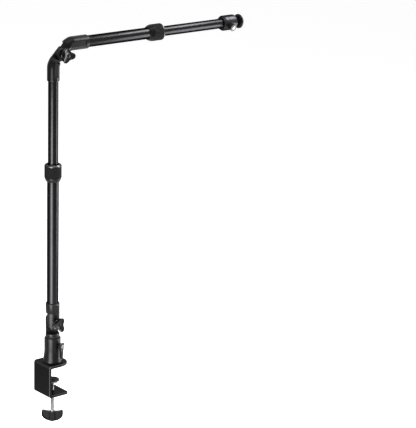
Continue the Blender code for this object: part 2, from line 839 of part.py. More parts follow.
def collar(prefix, place, rotation, parent, fixed):
    """A twist collar from its taper to its ring: place is the middle of its taper end."""
    bore = OUTER_TUBE_R + GAP
    core = COLLAR_R - GRIP_T - GAP
    pocket = INNER_TUBE_R + 0.0037
    piece(
        prefix + "_collar",
        turned_mesh(
            [
                (pocket, collar_seat),
                (core, collar_seat),
                (core, COLLAR_TAPER + 0.0006),
                (COLLAR_R - 0.0002, COLLAR_TAPER + 0.0006),
                (COLLAR_R - 0.0005, COLLAR_TAPER - 0.0006),
                (COLLAR_R - 0.0015, COLLAR_TAPER * 0.56),
                (bore + 0.0011, 0.0005),
                (bore + 0.0004, 0),
                (bore, 0),
                (bore, tube_end - 0.002),
                (pocket, tube_end - 0.002),
            ],
            32,
            True,
        ),
        "black_paint",
        place,
        rotation,
        parent,
    )
    piece(
        prefix + "_grip",
        turned_mesh(
            [
                (core + GAP, collar_seat),
                (COLLAR_R - 0.0003, collar_seat),
                (COLLAR_R, collar_seat - 0.0003),
                (COLLAR_R, COLLAR_TAPER + 0.0006 + GAP + 0.0003),
                (COLLAR_R - 0.0003, COLLAR_TAPER + 0.0006 + GAP),
                (core + GAP, COLLAR_TAPER + 0.0006 + GAP),
            ],
            32,
            True,
        ),
        "rubber",
        place,
        rotation,
        parent,
    )
    piece(
        prefix + "_ring",
        turned_mesh(
            [
                (INNER_TUBE_R + GAP + 0.0010, COLLAR_L - 0.0004),
                (COLLAR_R - 0.0022, COLLAR_L),
                (COLLAR_R - 0.0006, COLLAR_L - 0.0018),
                (COLLAR_R, COLLAR_L - 0.0024),
                (COLLAR_R, COLLAR_L - COLLAR_RING),
                (INNER_TUBE_R + GAP, COLLAR_L - COLLAR_RING),
                (INNER_TUBE_R + GAP, COLLAR_L - 0.0014),
            ],
            32,
            True,
        ),
        "gunmetal",
        place,
        rotation,
        parent,
    )
    piece(
        prefix + "_collet",
        turned_mesh(
            [
                (INNER_TUBE_R + GAP, tube_end + GAP + COLLET_L),
                (pocket - 0.0014, tube_end + GAP + COLLET_L),
                (pocket - GAP, tube_end + GAP + COLLET_L - 0.0022),
                (pocket - GAP, tube_end + GAP),
                (INNER_TUBE_R + GAP, tube_end + GAP),
            ],
            32,
            True,
        ),
        "nylon",
        place,
        rotation,
        fixed,
    )


def tail_plug(name, low, place, rotation, parent):
    """The nylon plug in an inner tube's hidden end: a flange on the end face and a spigot inside the bore."""
    bore = INNER_TUBE_R - TUBE_WALL - GAP
    piece(
        name,
        turned_mesh(
            [
                (0, low + PLUG_L),
                (bore, low + PLUG_L),
                (bore, low - GAP),
                (INNER_TUBE_R, low - GAP),
                (INNER_TUBE_R - 0.0004, low - 0.0022),
                (0, low - 0.0022),
            ],
            28,
        ),
        "nylon",
        place,
        rotation,
        parent,
    )


origin = (0, 0, 0)
joint_empty("lower_collar_axis", (0, 0, LOWER_COLLAR_Z), "tilt_axis")
joint_empty("mast_slide_axis", (0, 0, LOWER_COLLAR_Z), "tilt_axis")
tube("lower_outer_tube", OUTER_TUBE_R, LOWER_TUBE_FOOT, LOWER_COLLAR_Z + tube_end, origin, UPRIGHT, "tilt_axis")
collar("lower", (0, 0, LOWER_COLLAR_Z), UPRIGHT, "lower_collar_axis", "tilt_axis")
lower_tail = LOWER_COLLAR_Z - LOWER_TAIL
tube("lower_inner_tube", INNER_TUBE_R, lower_tail, INNER_TUBE_TOP, origin, UPRIGHT, "mast_slide_axis")
tail_plug("lower_tail_plug", lower_tail, origin, UPRIGHT, "mast_slide_axis")

# Elbow: two goosenecks, each bent through 45 degrees towards the hinge, that meet there as a half lap
elbow = (ELBOW_OFFSET, 0, ELBOW_Z)
BEND = math.radians(45)
# The straight run into the hinge and the bend's radius both follow from the offset
bend_r = 0.0196
run = (ELBOW_OFFSET - bend_r * (1 - math.cos(BEND))) / math.sin(BEND)
bend_start = run * math.cos(BEND) + bend_r * math.sin(BEND)


def neck_path(mouth):
    """Distances from the hinge as (across, along): from the mouth along the tube, round the bend, to the hinge."""
    out = [(ELBOW_OFFSET, mouth)]
    count = 7
    for i in range(count + 1):
        a = BEND * i / count
        out.append((ELBOW_OFFSET - bend_r * (1 - math.cos(a)), bend_start - bend_r * math.sin(a)))
    out.append((0, 0))
    return out


def neck_radii(points, mouth_r):
    """The mouth's radius along the tube, easing to the bar's radius at the hinge."""
    out = []
    for across, along in points:
        share = min(1, max(0, (bend_start - along) / (bend_start * 0.75)))
        ease = share * share * (3 - 2 * share)
        out.append(mouth_r + (ELBOW_BAR_R - mouth_r) * ease)
    return out


def elbow_half(name, mouth, mouth_r, lower, parent):
    path = neck_path(mouth)
    over = ELBOW_EYE_R + 0.002
    path.append((-over * math.sin(BEND), -over * math.cos(BEND)))
    radii = neck_radii(path, mouth_r)
    if lower:
        local = [(-across, 0, -along) for across, along in path]
        side, turn = 1, math.radians(45)
    else:
        local = [(along, 0, across) for across, along in path]
        side, turn = -1, math.radians(-135)
    obj = piece(name, neck_mesh(local, radii), "black_paint", elbow, UPRIGHT, parent)
    # The bar ends in a half circle round the hinge
    shape(obj, "DIFFERENCE", tool(past_end(ELBOW_EYE_R, turn), elbow, TO_FRONT))
    # Both sides are planed flat from the hinge to near the mouth
    for face in (1, -1):
        if lower:
            flat, run_low, run_high = INNER_TUBE_R + FLAT_WALL, ELBOW_FOOT_Z + 0.007, ELBOW_Z + 0.03
            low, high = (-0.03, flat, run_low), (0.05, 0.03, run_high)
        else:
            flat, run_high = OUTER_TUBE_R + FLAT_WALL, ELBOW_MOUTH_X - 0.007
            low, high = (-0.01, flat, BOOM_Z - 0.05), (run_high, 0.03, BOOM_Z + 0.03)
        if face < 0:
            low, high = (low[0], -0.03, low[2]), (high[0], -flat, high[2])
        shape(obj, "DIFFERENCE", tool(box_mesh(low, high)))
    if not lower:
        shape(obj, "UNION", tool(rod_mesh(ELBOW_BOSS_R, EYE_FACE + 0.003, ELBOW_FRONT, 32), elbow, TO_FRONT))
    # The half lap: beyond the shoulder only one side of the bar is left
    low, high = (-0.03, EYE_FACE) if side > 0 else (-EYE_FACE, 0.03)
    shape(obj, "DIFFERENCE", tool(box_mesh((-0.02, low, -ELBOW_SHOULDER), (0.02, high, 0.02)), elbow, (0, turn, 0)))
    drilled(obj, HINGE_BOLT_R + GAP, -0.03, 0.03, elbow, TO_BACK, 20)
    return obj


joint_empty("elbow_axis", elbow, "mast_slide_axis")
joint_empty("elbow_knob_axis", elbow, "elbow_axis")
lower_half = elbow_half("elbow_lower_half", ELBOW_Z - ELBOW_FOOT_Z, ELBOW_LOWER_R, True, "mast_slide_axis")
drilled(lower_half, INNER_TUBE_R + GAP, ELBOW_FOOT_Z - 0.002, INNER_TUBE_TOP + GAP, origin, UPRIGHT, 36)
upper_half = elbow_half("elbow_upper_half", ELBOW_MOUTH_X - ELBOW_OFFSET, ELBOW_UPPER_R, False, "elbow_axis")
drilled(
    upper_half, OUTER_TUBE_R + GAP, UPPER_TUBE_TAIL - GAP, ELBOW_MOUTH_X + 0.002, (0, 0, BOOM_Z), ALONG_X, 36
)
hinge_bolt("elbow_bolt", elbow, ELBOW_BACK, ELBOW_FRONT, ELBOW_KNOB_DEPTH, "mast_slide_axis")
hinge_washer("elbow_washer", elbow, ELBOW_EYE_R - 0.0010, "mast_slide_axis")
tri_knob("elbow_knob", elbow, ELBOW_FRONT, ELBOW_KNOB_DEPTH, math.radians(-8), "elbow_knob_axis")

boom = (0, 0, BOOM_Z)
joint_empty("upper_collar_axis", (UPPER_COLLAR_X, 0, BOOM_Z), "elbow_axis")
joint_empty("boom_slide_axis", (UPPER_COLLAR_X, 0, BOOM_Z), "elbow_axis")
tube("upper_outer_tube", OUTER_TUBE_R, UPPER_TUBE_TAIL, UPPER_COLLAR_X + tube_end, boom, ALONG_X, "elbow_axis")
collar("upper", (UPPER_COLLAR_X, 0, BOOM_Z), ALONG_X, "upper_collar_axis", "elbow_axis")
upper_tail = UPPER_COLLAR_X - UPPER_TAIL
inner_end = HEAD_X - GAP
tube("upper_inner_tube", INNER_TUBE_R, upper_tail, inner_end, boom, ALONG_X, "boom_slide_axis")
tail_plug("upper_tail_plug", upper_tail, boom, ALONG_X, "boom_slide_axis")

# Ball head: a stud in the tube's end carries the housing, where a seat and a side knob grip the ball
bore = INNER_TUBE_R - TUBE_WALL - GAP
stud_end = HEAD_X + HOUSING_BASE_T + 0.003
piece(
    "head_stud",
    turned_mesh(
        [
            (0, stud_end),
            (HEAD_STUD_R, stud_end),
            (HEAD_STUD_R, inner_end - GAP),
            (bore, inner_end - GAP),
            (bore, inner_end - 0.016),
            (0, inner_end - 0.016),
        ],
        32,
    ),
    "steel",
    boom,
    ALONG_X,
    "boom_slide_axis",
)
joint_empty("head_axis", (HEAD_X, 0, BOOM_Z), "boom_slide_axis")
base_front = HEAD_X + HOUSING_BASE_T
piece(
    "housing_base",
    turned_mesh(
        [
            (HEAD_STUD_R + GAP, base_front),
            (HOUSING_R, base_front),
            (HOUSING_R, HEAD_X + 0.0040),
            (HOUSING_R - 0.0022, HEAD_X),
            (HEAD_STUD_R + GAP, HEAD_X),
        ],
        36,
        True,
    ),
    "gunmetal",
    boom,
    ALONG_X,
    "head_axis",
)
cup_r = BALL_R + GAP
front_x = HEAD_X + HOUSING_L
lip_r = BALL_MOUTH_R + HOUSING_LIP_T
shell = [(BALL_MOUTH_R, front_x), (lip_r, front_x)]
dome = HOUSING_R - lip_r
for i in range(1, 5):
    a = math.radians(22.5 * i)
    shell.append((lip_r + dome * math.sin(a), front_x - HOUSING_DOME * (1 - math.cos(a))))
shell += [(HOUSING_R, base_front + GAP), (cup_r, base_front + GAP), (cup_r, BALL_X)]
half_angle = math.asin(BALL_MOUTH_R / cup_r)
for i in range(1, 5):
    a = math.radians(90) + (half_angle - math.radians(90)) * i / 4
    shell.append((cup_r * math.sin(a), BALL_X + cup_r * math.cos(a)))
housing = piece("ball_housing", turned_mesh(shell, 40, True), "gunmetal", boom, ALONG_X, "head_axis")
notch_r = STEM_R + 0.0008
LOCK_OUT = (math.radians(90) + HEAD_KNOB_DROP, 0, 0)
ball_place = (BALL_X, 0, BOOM_Z)
past_housing = BALL_RECESS + HOUSING_R
notch = arc(0, 0, notch_r, 90, 270, 10) + [(past_housing, -notch_r), (past_housing, notch_r)]
shape(housing, "DIFFERENCE", tool(plate_mesh(notch, -past_housing, 0), ball_place))
drilled(housing, HEAD_STUD_R + GAP, 0, past_housing, (HEAD_X + HEAD_KNOB_SET, 0, BOOM_Z), LOCK_OUT, 20)

seat_low = base_front + 0.0030
seat_r = BALL_R - GAP
rim = math.asin(BALL_R * 0.82 / cup_r)
seat_profile = []
for i in range(6):
    a = rim * i / 5
    seat_profile.append((cup_r * math.sin(a), BALL_X - cup_r * math.cos(a)))
seat_profile += [(seat_r, seat_profile[-1][1]), (seat_r, seat_low), (0, seat_low)]
piece("ball_seat", turned_mesh(seat_profile, 28), "nylon", boom, ALONG_X, "head_axis")

joint_empty("ball_axis", ball_place, "head_axis")
joint_empty("platform_axis", ball_place, "ball_axis")
stem_out = PLATFORM_SET + 0.0022
neck_angle = math.asin(STEM_R / BALL_R)
ball_profile = [(0, stem_out), (STEM_R - 0.0003, stem_out), (STEM_R, stem_out - 0.0003)]
for i in range(10):
    a = neck_angle + (math.pi - neck_angle) * i / 9
    ball_profile.append((BALL_R * math.sin(a) if i < 9 else 0, BALL_R * math.cos(a)))
piece("ball_stem", turned_mesh(ball_profile, 28), "steel", ball_place, ALONG_X, "ball_axis")

face = PLATFORM_SET + PLATFORM_T
piece(
    "platform",
    turned_mesh(
        [
            (CAMERA_SCREW_R + GAP, face),
            (PLATFORM_R - 0.0010, face),
            (PLATFORM_R, face - 0.0010),
            (PLATFORM_R, PLATFORM_SET + 0.0012),
            (PLATFORM_R - 0.0030, PLATFORM_SET),
            (STEM_R + GAP, PLATFORM_SET),
            (STEM_R + GAP, stem_out + GAP),
            (CAMERA_SCREW_R + GAP, stem_out + GAP),
        ],
        36,
        True,
    ),
    "gunmetal",
    ball_place,
    ALONG_X,
    "platform_axis",
)
pad_face = face + GAP + PLATFORM_PAD_T
piece(
    "platform_pad",
    turned_mesh(
        [
            (CAMERA_SCREW_R + GAP, pad_face),
            (PLATFORM_R - 0.0012, pad_face),
            (PLATFORM_R - 0.0012, face + GAP),
            (CAMERA_SCREW_R + GAP, face + GAP),
        ],
        32,
        True,
    ),
    "rubber",
    ball_place,
    ALONG_X,
    "platform_axis",
)
piece(
    "camera_screw",
    turned_mesh(
        [
            (0, pad_face + CAMERA_SCREW_L),
            (CAMERA_SCREW_R - 0.0007, pad_face + CAMERA_SCREW_L),
            (CAMERA_SCREW_R, pad_face + CAMERA_SCREW_L - 0.0007),
            (CAMERA_SCREW_R, stem_out + GAP),
            (0, stem_out + GAP),
        ],
        24,
    ),
    "steel",
    ball_place,
    ALONG_X,
    "platform_axis",
)

knob_place = (HEAD_X + HEAD_KNOB_SET, 0, BOOM_Z)
joint_empty("ball_lock_axis", knob_place, "head_axis")
cap_face = HEAD_KNOB_REACH - HEAD_CAP_T - GAP
knob_low = HOUSING_R + 0.0006
piece(
    "ball_lock_knob",
    turned_mesh(
        [
            (HEAD_STUD_R + GAP, cap_face),
            (HEAD_KNOB_R - 0.0008, cap_face),
            (HEAD_KNOB_R, cap_face - 0.0008),
            (HEAD_KNOB_R, knob_low + 0.0012),
            (HEAD_KNOB_R - 0.0012, knob_low),
            (HEAD_STUD_R + GAP, knob_low),
        ],
        36,
        True,
    ),
    "gloss_black",
    knob_place,
    LOCK_OUT,
    "ball_lock_axis",
)
piece(
    "ball_lock_screw",
    turned_mesh(
        [
            (0, HEAD_KNOB_REACH),
            (HEAD_CAP_R - 0.0004, HEAD_KNOB_REACH),
            (HEAD_CAP_R, HEAD_KNOB_REACH - 0.0004),
            (HEAD_CAP_R, cap_face + GAP),
            (HEAD_STUD_R, cap_face + GAP),
            (HEAD_STUD_R, BALL_R + 2 * GAP),
            (0, BALL_R + 2 * GAP),
        ],
        24,
    ),
    "steel",
    knob_place,
    LOCK_OUT,
    "ball_lock_axis",
)
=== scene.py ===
"""The look of an overhead camera desk mount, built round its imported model. Sections follow the assembly:
desk clamp, swivel and tilt hinge, telescopic mast, elbow, telescopic boom and ball head, then the studio."""

import math

import bmesh
import bpy
import numpy as np
from mathutils import Matrix


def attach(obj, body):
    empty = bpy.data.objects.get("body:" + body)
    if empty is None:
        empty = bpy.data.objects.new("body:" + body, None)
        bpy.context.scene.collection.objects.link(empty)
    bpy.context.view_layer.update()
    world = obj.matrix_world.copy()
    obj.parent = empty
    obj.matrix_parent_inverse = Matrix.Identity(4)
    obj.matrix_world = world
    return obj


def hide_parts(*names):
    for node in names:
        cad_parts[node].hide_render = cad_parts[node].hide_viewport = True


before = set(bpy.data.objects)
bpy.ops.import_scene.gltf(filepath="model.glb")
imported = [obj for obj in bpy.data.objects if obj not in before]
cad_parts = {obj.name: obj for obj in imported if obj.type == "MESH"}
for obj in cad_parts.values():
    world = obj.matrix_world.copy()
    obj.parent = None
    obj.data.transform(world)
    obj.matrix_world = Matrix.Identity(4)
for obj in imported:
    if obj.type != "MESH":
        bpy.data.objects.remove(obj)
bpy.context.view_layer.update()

# Clamp bracket: a C of 5 mm steel bar, bent at its spine and powder coated. Its upper jaw ends in a wide
# round, its lower jaw is square with rounded corners, and its edges carry a painted highlight.
# Lengths are in millimetres as far as the studio.
MM = 0.001
FAR = 1000
PLATE_TOP = 6.5
PLATE_T = 5.0
BRACKET_H = 64.0
BRACKET_BACK = -25.0
BRACKET_HALF = 26.25
UPPER_FRONT, UPPER_ROUND = 26.0, 22.0
LOWER_FRONT, LOWER_ROUND = 20.0, 6.0
OUTER_BEND, INNER_BEND = 4.8, 1.8
BAR_EDGE = 1.1


def skin(name, grid, ring=False, sharp=38):
    """A closed piece from a grid of places in mm, rows by columns: each quad joins (i, j), (i, j+1), (i+1,
    j+1) and (i+1, j), and the last column joins the first. With ring the last row joins the first row too.
    Places that coincide are merged, so a row that is a single place closes an end, and any open end gets a
    flat face. Edges that turn by more than the sharp angle stay hard."""
    rows, columns = grid.shape[:2]
    index = np.arange(rows * columns).reshape(rows, columns)
    if ring:
        index = np.vstack((index, index[:1]))
    near, far = index, np.roll(index, -1, axis=1)
    quads = np.stack((near[:-1], far[:-1], far[1:], near[1:]), axis=-1).reshape(-1, 4)
    mesh = bpy.data.meshes.new(name)
    mesh.from_pydata((grid.reshape(-1, 3) * MM).tolist(), [], quads.tolist())
    work = bmesh.new()
    work.from_mesh(mesh)
    bmesh.ops.remove_doubles(work, verts=work.verts, dist=2e-6)
    bmesh.ops.dissolve_degenerate(work, edges=work.edges, dist=1e-7)
    bmesh.ops.holes_fill(work, edges=[edge for edge in work.edges if edge.is_boundary])
    bmesh.ops.recalc_face_normals(work, faces=work.faces)
    work.to_mesh(mesh)
    work.free()
    mesh.shade_smooth()
    mesh.set_sharp_from_angle(angle=math.radians(sharp))
    piece = bpy.data.objects.new(name, mesh)
    bpy.context.scene.collection.objects.link(piece)
    return piece


def fit(piece, body, slot, finish, *nodes):
    """Hangs a piece on its body, puts it in place of the plain solids it stands for and gives it its
    finish. The slot is not used."""
    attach(piece, body)
    if nodes:
        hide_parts(*nodes)
    piece.data.materials.append(finish)


def quarter(cx, cy, radius, start, end, count=7):
    """Places on a circle between two angles in degrees: middle + radius (cos a, sin a)."""
    a = np.radians(np.linspace(start, end, count))
    return np.column_stack((cx + radius * np.cos(a), cy + radius * np.sin(a)))


def bent_line():
    """The C's course from the upper jaw's end round the spine to the lower jaw's end. Each station holds a
    place on the outer line, the place on the inner line that faces it, its distance from the jaw's end and
    that end's round. A bend counts as far from the jaw's end."""
    top, low = PLATE_TOP, PLATE_TOP - BRACKET_H
    bend_x = BRACKET_BACK + PLATE_T + INNER_BEND
    outer_x = BRACKET_BACK + OUTER_BEND
    lip = BAR_EDGE * (1 - np.cos(np.radians(np.linspace(0, 90, 6))))
    arc = 1 - np.cos(np.radians(np.linspace(8, 90, 24)))

    def jaw(front, end_round, outer, inner):
        away = np.concatenate((lip, end_round * arc, np.linspace(end_round, front - bend_x, 6)[1:]))
        away = np.unique(away.round(3))
        return [((front - d, outer), (front - d, inner), d, end_round) for d in away]

    def bend(start, outer_z, inner_z):
        outer = quarter(outer_x, outer_z, OUTER_BEND, start, start + 90, 13)
        inner = quarter(bend_x, inner_z, INNER_BEND, start, start + 90, 13)
        return [(out, facing, FAR, 0) for out, facing in zip(outer, inner)]

    deep = PLATE_T + INNER_BEND
    upper = jaw(UPPER_FRONT, UPPER_ROUND, top, top - PLATE_T) + bend(90, top - OUTER_BEND, top - deep)
    lower = bend(180, low + OUTER_BEND, low + deep) + jaw(LOWER_FRONT, LOWER_ROUND, low, low + PLATE_T)[::-1]
    return upper + lower


def bar_grid():
    """Sections across the C, each a rectangle with rounded corners that runs from the outer line to the
    inner one. At a distance d from a jaw's end of round R, a section's half width drawn in by e is half - R
    + sqrt((R - e)^2 - (R - d)^2), and near the end itself the corners stop where e reaches d."""
    rows = []
    for outer, inner, d, end_round in bent_line():
        a = np.radians(np.linspace(0, 90, 7))
        a = np.minimum(a, math.acos(1 - min(d / BAR_EDGE, 1)))
        drawn = BAR_EDGE * (1 - np.cos(a))
        depth = BAR_EDGE * (1 - np.sin(a)) / PLATE_T
        wide = BRACKET_HALF - drawn
        if d < end_round:
            reach = np.maximum((end_round - drawn) ** 2 - (end_round - d) ** 2, 0)
            wide = BRACKET_HALF - end_round + np.sqrt(reach)
        wide = np.append(wide, wide[-1] - BAR_EDGE)
        depth = np.append(depth, depth[-1])
        y = np.concatenate((wide, -wide[::-1], -wide, wide[::-1]))
        share = np.concatenate((depth, depth[::-1], 1 - depth, 1 - depth[::-1]))[:, None]
        place = np.array(outer) * (1 - share) + np.array(inner) * share
        rows.append(np.column_stack((place[:, 0], y, place[:, 1])))
    return np.array(rows)


def feed(tree, node, values):
    """Sets a node's inputs by name or number: an output of another node is linked in, anything else is a
    value."""
    for key, value in values.items():
        if isinstance(value, bpy.types.NodeSocket):
            tree.links.new(value, node.inputs[key])
        else:
            node.inputs[key].default_value = value
    return node


def wire(tree, kind, values):
    """A new shader node with its inputs set."""
    return feed(tree, tree.nodes.new("ShaderNode" + kind), values)


def blend(tree, share, first, second):
    """The colour that lies between two others by a share."""
    mix = tree.nodes.new("ShaderNodeMix")
    mix.data_type = "RGBA"
    return feed(tree, mix, {"Factor": share, "A": first, "B": second}).outputs["Result"]


def shades(
    name, colour, metal, rough, grain, depth, patch, spread, draw=(1, 1, 1), edge_highlight=0, mirror=0.5, rim=1
):
    """A finish from noise on the object's own coordinates. A broad noise of the patch's scale lightens and
    darkens the colour by the spread; a fine noise of the grain's scale varies the roughness by half of it
    and raises the surface by the depth in mm. Draw stretches the fine noise along one axis, as extrusion
    does. The edge amount blends the convex edges, found by pointiness, towards a pale grey: a painted
    highlight along the edges. Mirror is the specular level and rim its tint towards the outline, both the
    same all over."""
    material = bpy.data.materials.new(name)
    material.use_nodes = True
    tree = material.node_tree
    place = wire(tree, "TexCoord", {}).outputs["Object"]
    broad = wire(tree, "TexNoise", {"Vector": place, "Scale": patch, "Detail": 5})
    dark, light = ([min(1, c * share) for c in colour] + [1] for share in (1 - spread, 1 + spread))
    shade = blend(tree, broad.outputs["Fac"], dark, light)
    stretch = wire(tree, "Mapping", {"Vector": place, "Scale": draw}).outputs["Vector"]
    fine = wire(tree, "TexNoise", {"Vector": stretch, "Scale": grain, "Detail": 3}).outputs["Fac"]
    # Painted highlight: convex edges, found by pointiness, are blended towards a pale grey.
    if edge_highlight > 0:
        ridge = wire(tree, "NewGeometry", {}).outputs["Pointiness"]
        highlight_share = wire(tree, "MapRange", {"Value": ridge, "From Min": 0.51, "From Max": 0.57, "To Max": edge_highlight})
        shade = blend(tree, highlight_share.outputs["Result"], shade, (0.32, 0.32, 0.33, 1))
    smooth, dull = rough * (1 - spread / 2), min(1, rough * (1 + spread / 2))
    limits = {"From Min": 0.3, "From Max": 0.7, "To Min": smooth, "To Max": dull}
    bump = wire(tree, "Bump", {"Strength": 1, "Distance": depth * MM, "Height": fine})
    surface = {
        "Base Color": shade,
        "Roughness": wire(tree, "MapRange", {"Value": fine, **limits}).outputs["Result"],
        "Normal": bump.outputs["Normal"],
        "Metallic": metal,
        "Specular IOR Level": mirror,
        "Specular Tint": (rim, rim, rim, 1),
    }
    feed(tree, tree.nodes["Principled BSDF"], surface)
    return material


# The bracket's edges get a strong painted highlight from the edge amount.
powder_coat = shades(
    "powder_coat", (0.002, 0.002, 0.0022), 0, 0.34, 1500, 0.03, 60, 0.2, edge_highlight=0.4, mirror=0.015
)
fit(skin("bracket_bar", bar_grid(), sharp=50), "clamp", "bracket_paint", powder_coat, "clamp_bracket")

# Upper jaw pad: a thin moulded rubber sheet with rounded edges, glued under the upper jaw and following its
# round end.
PAD_T = 1.2
PAD_INSET = 3.0


def jaw_plan():
    """The upper jaw seen from above, drawn in by the pad's inset: straight back and sides, and two quarter
    rounds in front."""
    middle = UPPER_FRONT - UPPER_ROUND, UPPER_ROUND - BRACKET_HALF
    near = quarter(*middle, UPPER_ROUND - PAD_INSET, -90, 0, 16)
    back = BRACKET_BACK + PLATE_T + PAD_INSET
    half = BRACKET_HALF - PAD_INSET
    share = np.linspace(0, 1, 6)[:, None]
    side = np.array([back, -half]) * (1 - share) + near[0] * share
    return np.vstack((side, near[1:], near[::-1] * (1, -1), side[::-1] * (1, -1)))


def plate_grid(outline, heights, insets):
    """A flat piece with rounded edges: one row for each height, its outline shrunk towards its middle by an
    inset, and a single place at both ends."""
    reach = np.linalg.norm(outline, axis=1, keepdims=True)
    rows = []
    for height, inset in zip(heights, insets):
        ring = outline * np.maximum(1 - inset / reach, 0)
        rows.append(np.column_stack((ring, np.full(len(ring), height))))
    return np.array(rows)


def edge_rows(low, high, cut, steps=4):
    """Heights and insets of a slab whose two edges are quarter rounds: inset = cut (1 - cos a), and the
    height runs on by cut sin a."""
    a = np.radians(np.linspace(90, 0, steps))
    under = low + cut * (1 - np.sin(a))
    over = high - cut * (1 - np.sin(a[::-1]))
    inset = cut * (1 - np.cos(a))
    return np.array([low, *under, *over, high]), np.array([FAR, *inset, *inset[::-1], FAR])


pad_rubber = shades("pad_rubber", (0.012, 0.012, 0.013), 0, 0.8, 2200, 0.08, 90, 0.3, mirror=0.2)
jaw_pad = skin("jaw_pad", plate_grid(jaw_plan(), *edge_rows(0, PAD_T, 0.3)))
fit(jaw_pad, "clamp", "pad_rubber", pad_rubber, "upper_jaw_pad")

# Base socket: a die-cast, painted stand that flares to its foot, bolted down through the jaw by a
# countersunk screw from below.
SOCKET_R, SOCKET_FOOT_R, FLARE_H = 15.7, 18.7, 24.5
SOCKET_TOP = PLATE_TOP + 48.4
SOCKET_FLOOR = PLATE_TOP + 19.5
SPIGOT_R = 8.0
BOLT_LOW, BOLT_HEAD_R, BOLT_R, BOLT_HEX = 1.8, 7.5, 4.0, 2.4
GAP = 0.3


def eased(corners, steps=5):
    """A profile of (radius, height, cut) whose corners are rounded: each is cut back by its cut along both
    of its sides, and the two cuts are joined by the parabola (1-t)^2 a + 2t(1-t) corner + t^2 b."""
    corners = np.array([(*c, 0.0) if len(c) == 2 else c for c in corners], float)
    place, cut = corners[:, :2], corners[:, 2:]
    back = np.roll(place, 1, axis=0) - place
    ahead = np.roll(place, -1, axis=0) - place
    back_l = np.maximum(np.linalg.norm(back, axis=1, keepdims=True), 1e-9)
    ahead_l = np.maximum(np.linalg.norm(ahead, axis=1, keepdims=True), 1e-9)
    start = place + back / back_l * np.minimum(cut, 0.48 * back_l)
    end = place + ahead / ahead_l * np.minimum(cut, 0.48 * ahead_l)
    t = np.linspace(0, 1, steps)[None, :, None]
    curve = (1 - t) ** 2 * start[:, None] + 2 * t * (1 - t) * place[:, None] + t**2 * end[:, None]
    curve = curve.reshape(-1, 2)
    keep = np.concatenate(([True], np.linalg.norm(np.diff(curve, axis=0), axis=1) > 1e-3))
    return curve[keep]


UP, RIGHT, FRONT, BACK = (0, 0, 1), (1, 0, 0), (0, -1, 0), (0, 1, 0)


def turned(profile, place=(0, 0, 0), along=UP, sides=112, swell=None):
    """A profile of (radius, height) carried round an axis: place + height along + radius (cos a u + sin a
    v), u and v being across the axis. Swell, a function of the profile's arrays and the angles, adds to the
    radius, as ribs and knurls do."""
    along = np.array(along, float)
    along /= np.linalg.norm(along)
    u = np.cross((0, 1, 0) if abs(along[1]) < 0.9 else (1, 0, 0), along)
    u /= np.linalg.norm(u)
    v = np.cross(along, u)
    a = np.linspace(0, math.tau, sides, endpoint=False)[None, :]
    radius, height = profile[:, :1] + 0 * a, profile[:, 1:] + 0 * a
    if swell is not None:
        radius = radius + swell(radius, height, a)
    ring = radius[..., None] * (np.cos(a)[..., None] * u + np.sin(a)[..., None] * v)
    return np.array(place) + height[..., None] * along + ring


def spun(name, line, body, slot, finish, node, place=(0, 0, 0), along=UP, sides=112, swell=None, **edges):
    """A turned piece, fitted: its profile's corners are rounded and it is carried round the axis."""
    fit(skin(name, turned(eased(line), place, along, sides, swell), **edges), body, slot, finish, node)


# The castings' edges get a faint painted highlight from the edge amount.
cast_paint = shades(
    "cast_paint", (0.0014, 0.0014, 0.0016), 0, 0.32, 1100, 0.01, 50, 0.22, edge_highlight=0.04, mirror=0.13
)
share = np.linspace(0, 1, 14)
flare_r = SOCKET_R + (SOCKET_FOOT_R - SOCKET_R) * share**1.6
flare_z = PLATE_TOP + FLARE_H + (GAP + 0.8 - FLARE_H) * share
socket_line = [
    (SPIGOT_R + GAP, SOCKET_TOP, 0.4),
    (SOCKET_R, SOCKET_TOP, 0.9),
    *zip(flare_r, flare_z),
    (SOCKET_FOOT_R, PLATE_TOP + GAP, 0.3),
    (BOLT_R + GAP, PLATE_TOP + GAP),
    (BOLT_R + GAP, SOCKET_FLOOR),
    (SPIGOT_R + GAP, SOCKET_FLOOR),
]
spun("socket_casting", socket_line, "clamp", "cast_paint", cast_paint, "base_socket", ring=True)

bright_steel = shades("bright_steel", (0.115, 0.115, 0.118), 1, 0.36, 1800, 0.01, 120, 0.12, rim=0.6)
plated_screw = shades("plated_screw", (0.2, 0.2, 0.205), 1, 0.3, 1800, 0.01, 120, 0.15, rim=0.5)
bolt_line = [
    (0, BOLT_LOW + 2.2),
    (BOLT_HEX - 0.01, BOLT_LOW + 2.2),
    (BOLT_HEX, BOLT_LOW + 0.1),
    (2.9, BOLT_LOW),
    (BOLT_HEAD_R, BOLT_LOW, 0.2),
    (BOLT_R, BOLT_LOW + 3.5),
    (BOLT_R, SOCKET_FLOOR - 3.4, 0.4),
    (0, SOCKET_FLOOR - 3.0),
]
spun("base_screw", bolt_line, "clamp", "steel", bright_steel, "base_bolt", sides=72)

# Clamp foot: a turned steel plate with a bonded rubber face, loose on the end of the clamp screw so that it
# stays still while the screw turns.
FOOT_R, FOOT_TOP, RUBBER_T, FOOT_T = 13.0, -30.0, 2.0, 3.2
SPINDLE_R = 3.5
def grooves(middles, face, mouth, floor, depth):
    """Profile corners of round grooves in a flat face, each narrower at its floor than at its mouth."""
    corners = [(-mouth, 0), (-floor, depth), (floor, depth), (mouth, 0)]
    return [(r + side, face - sunk) for r in middles for side, sunk in corners]


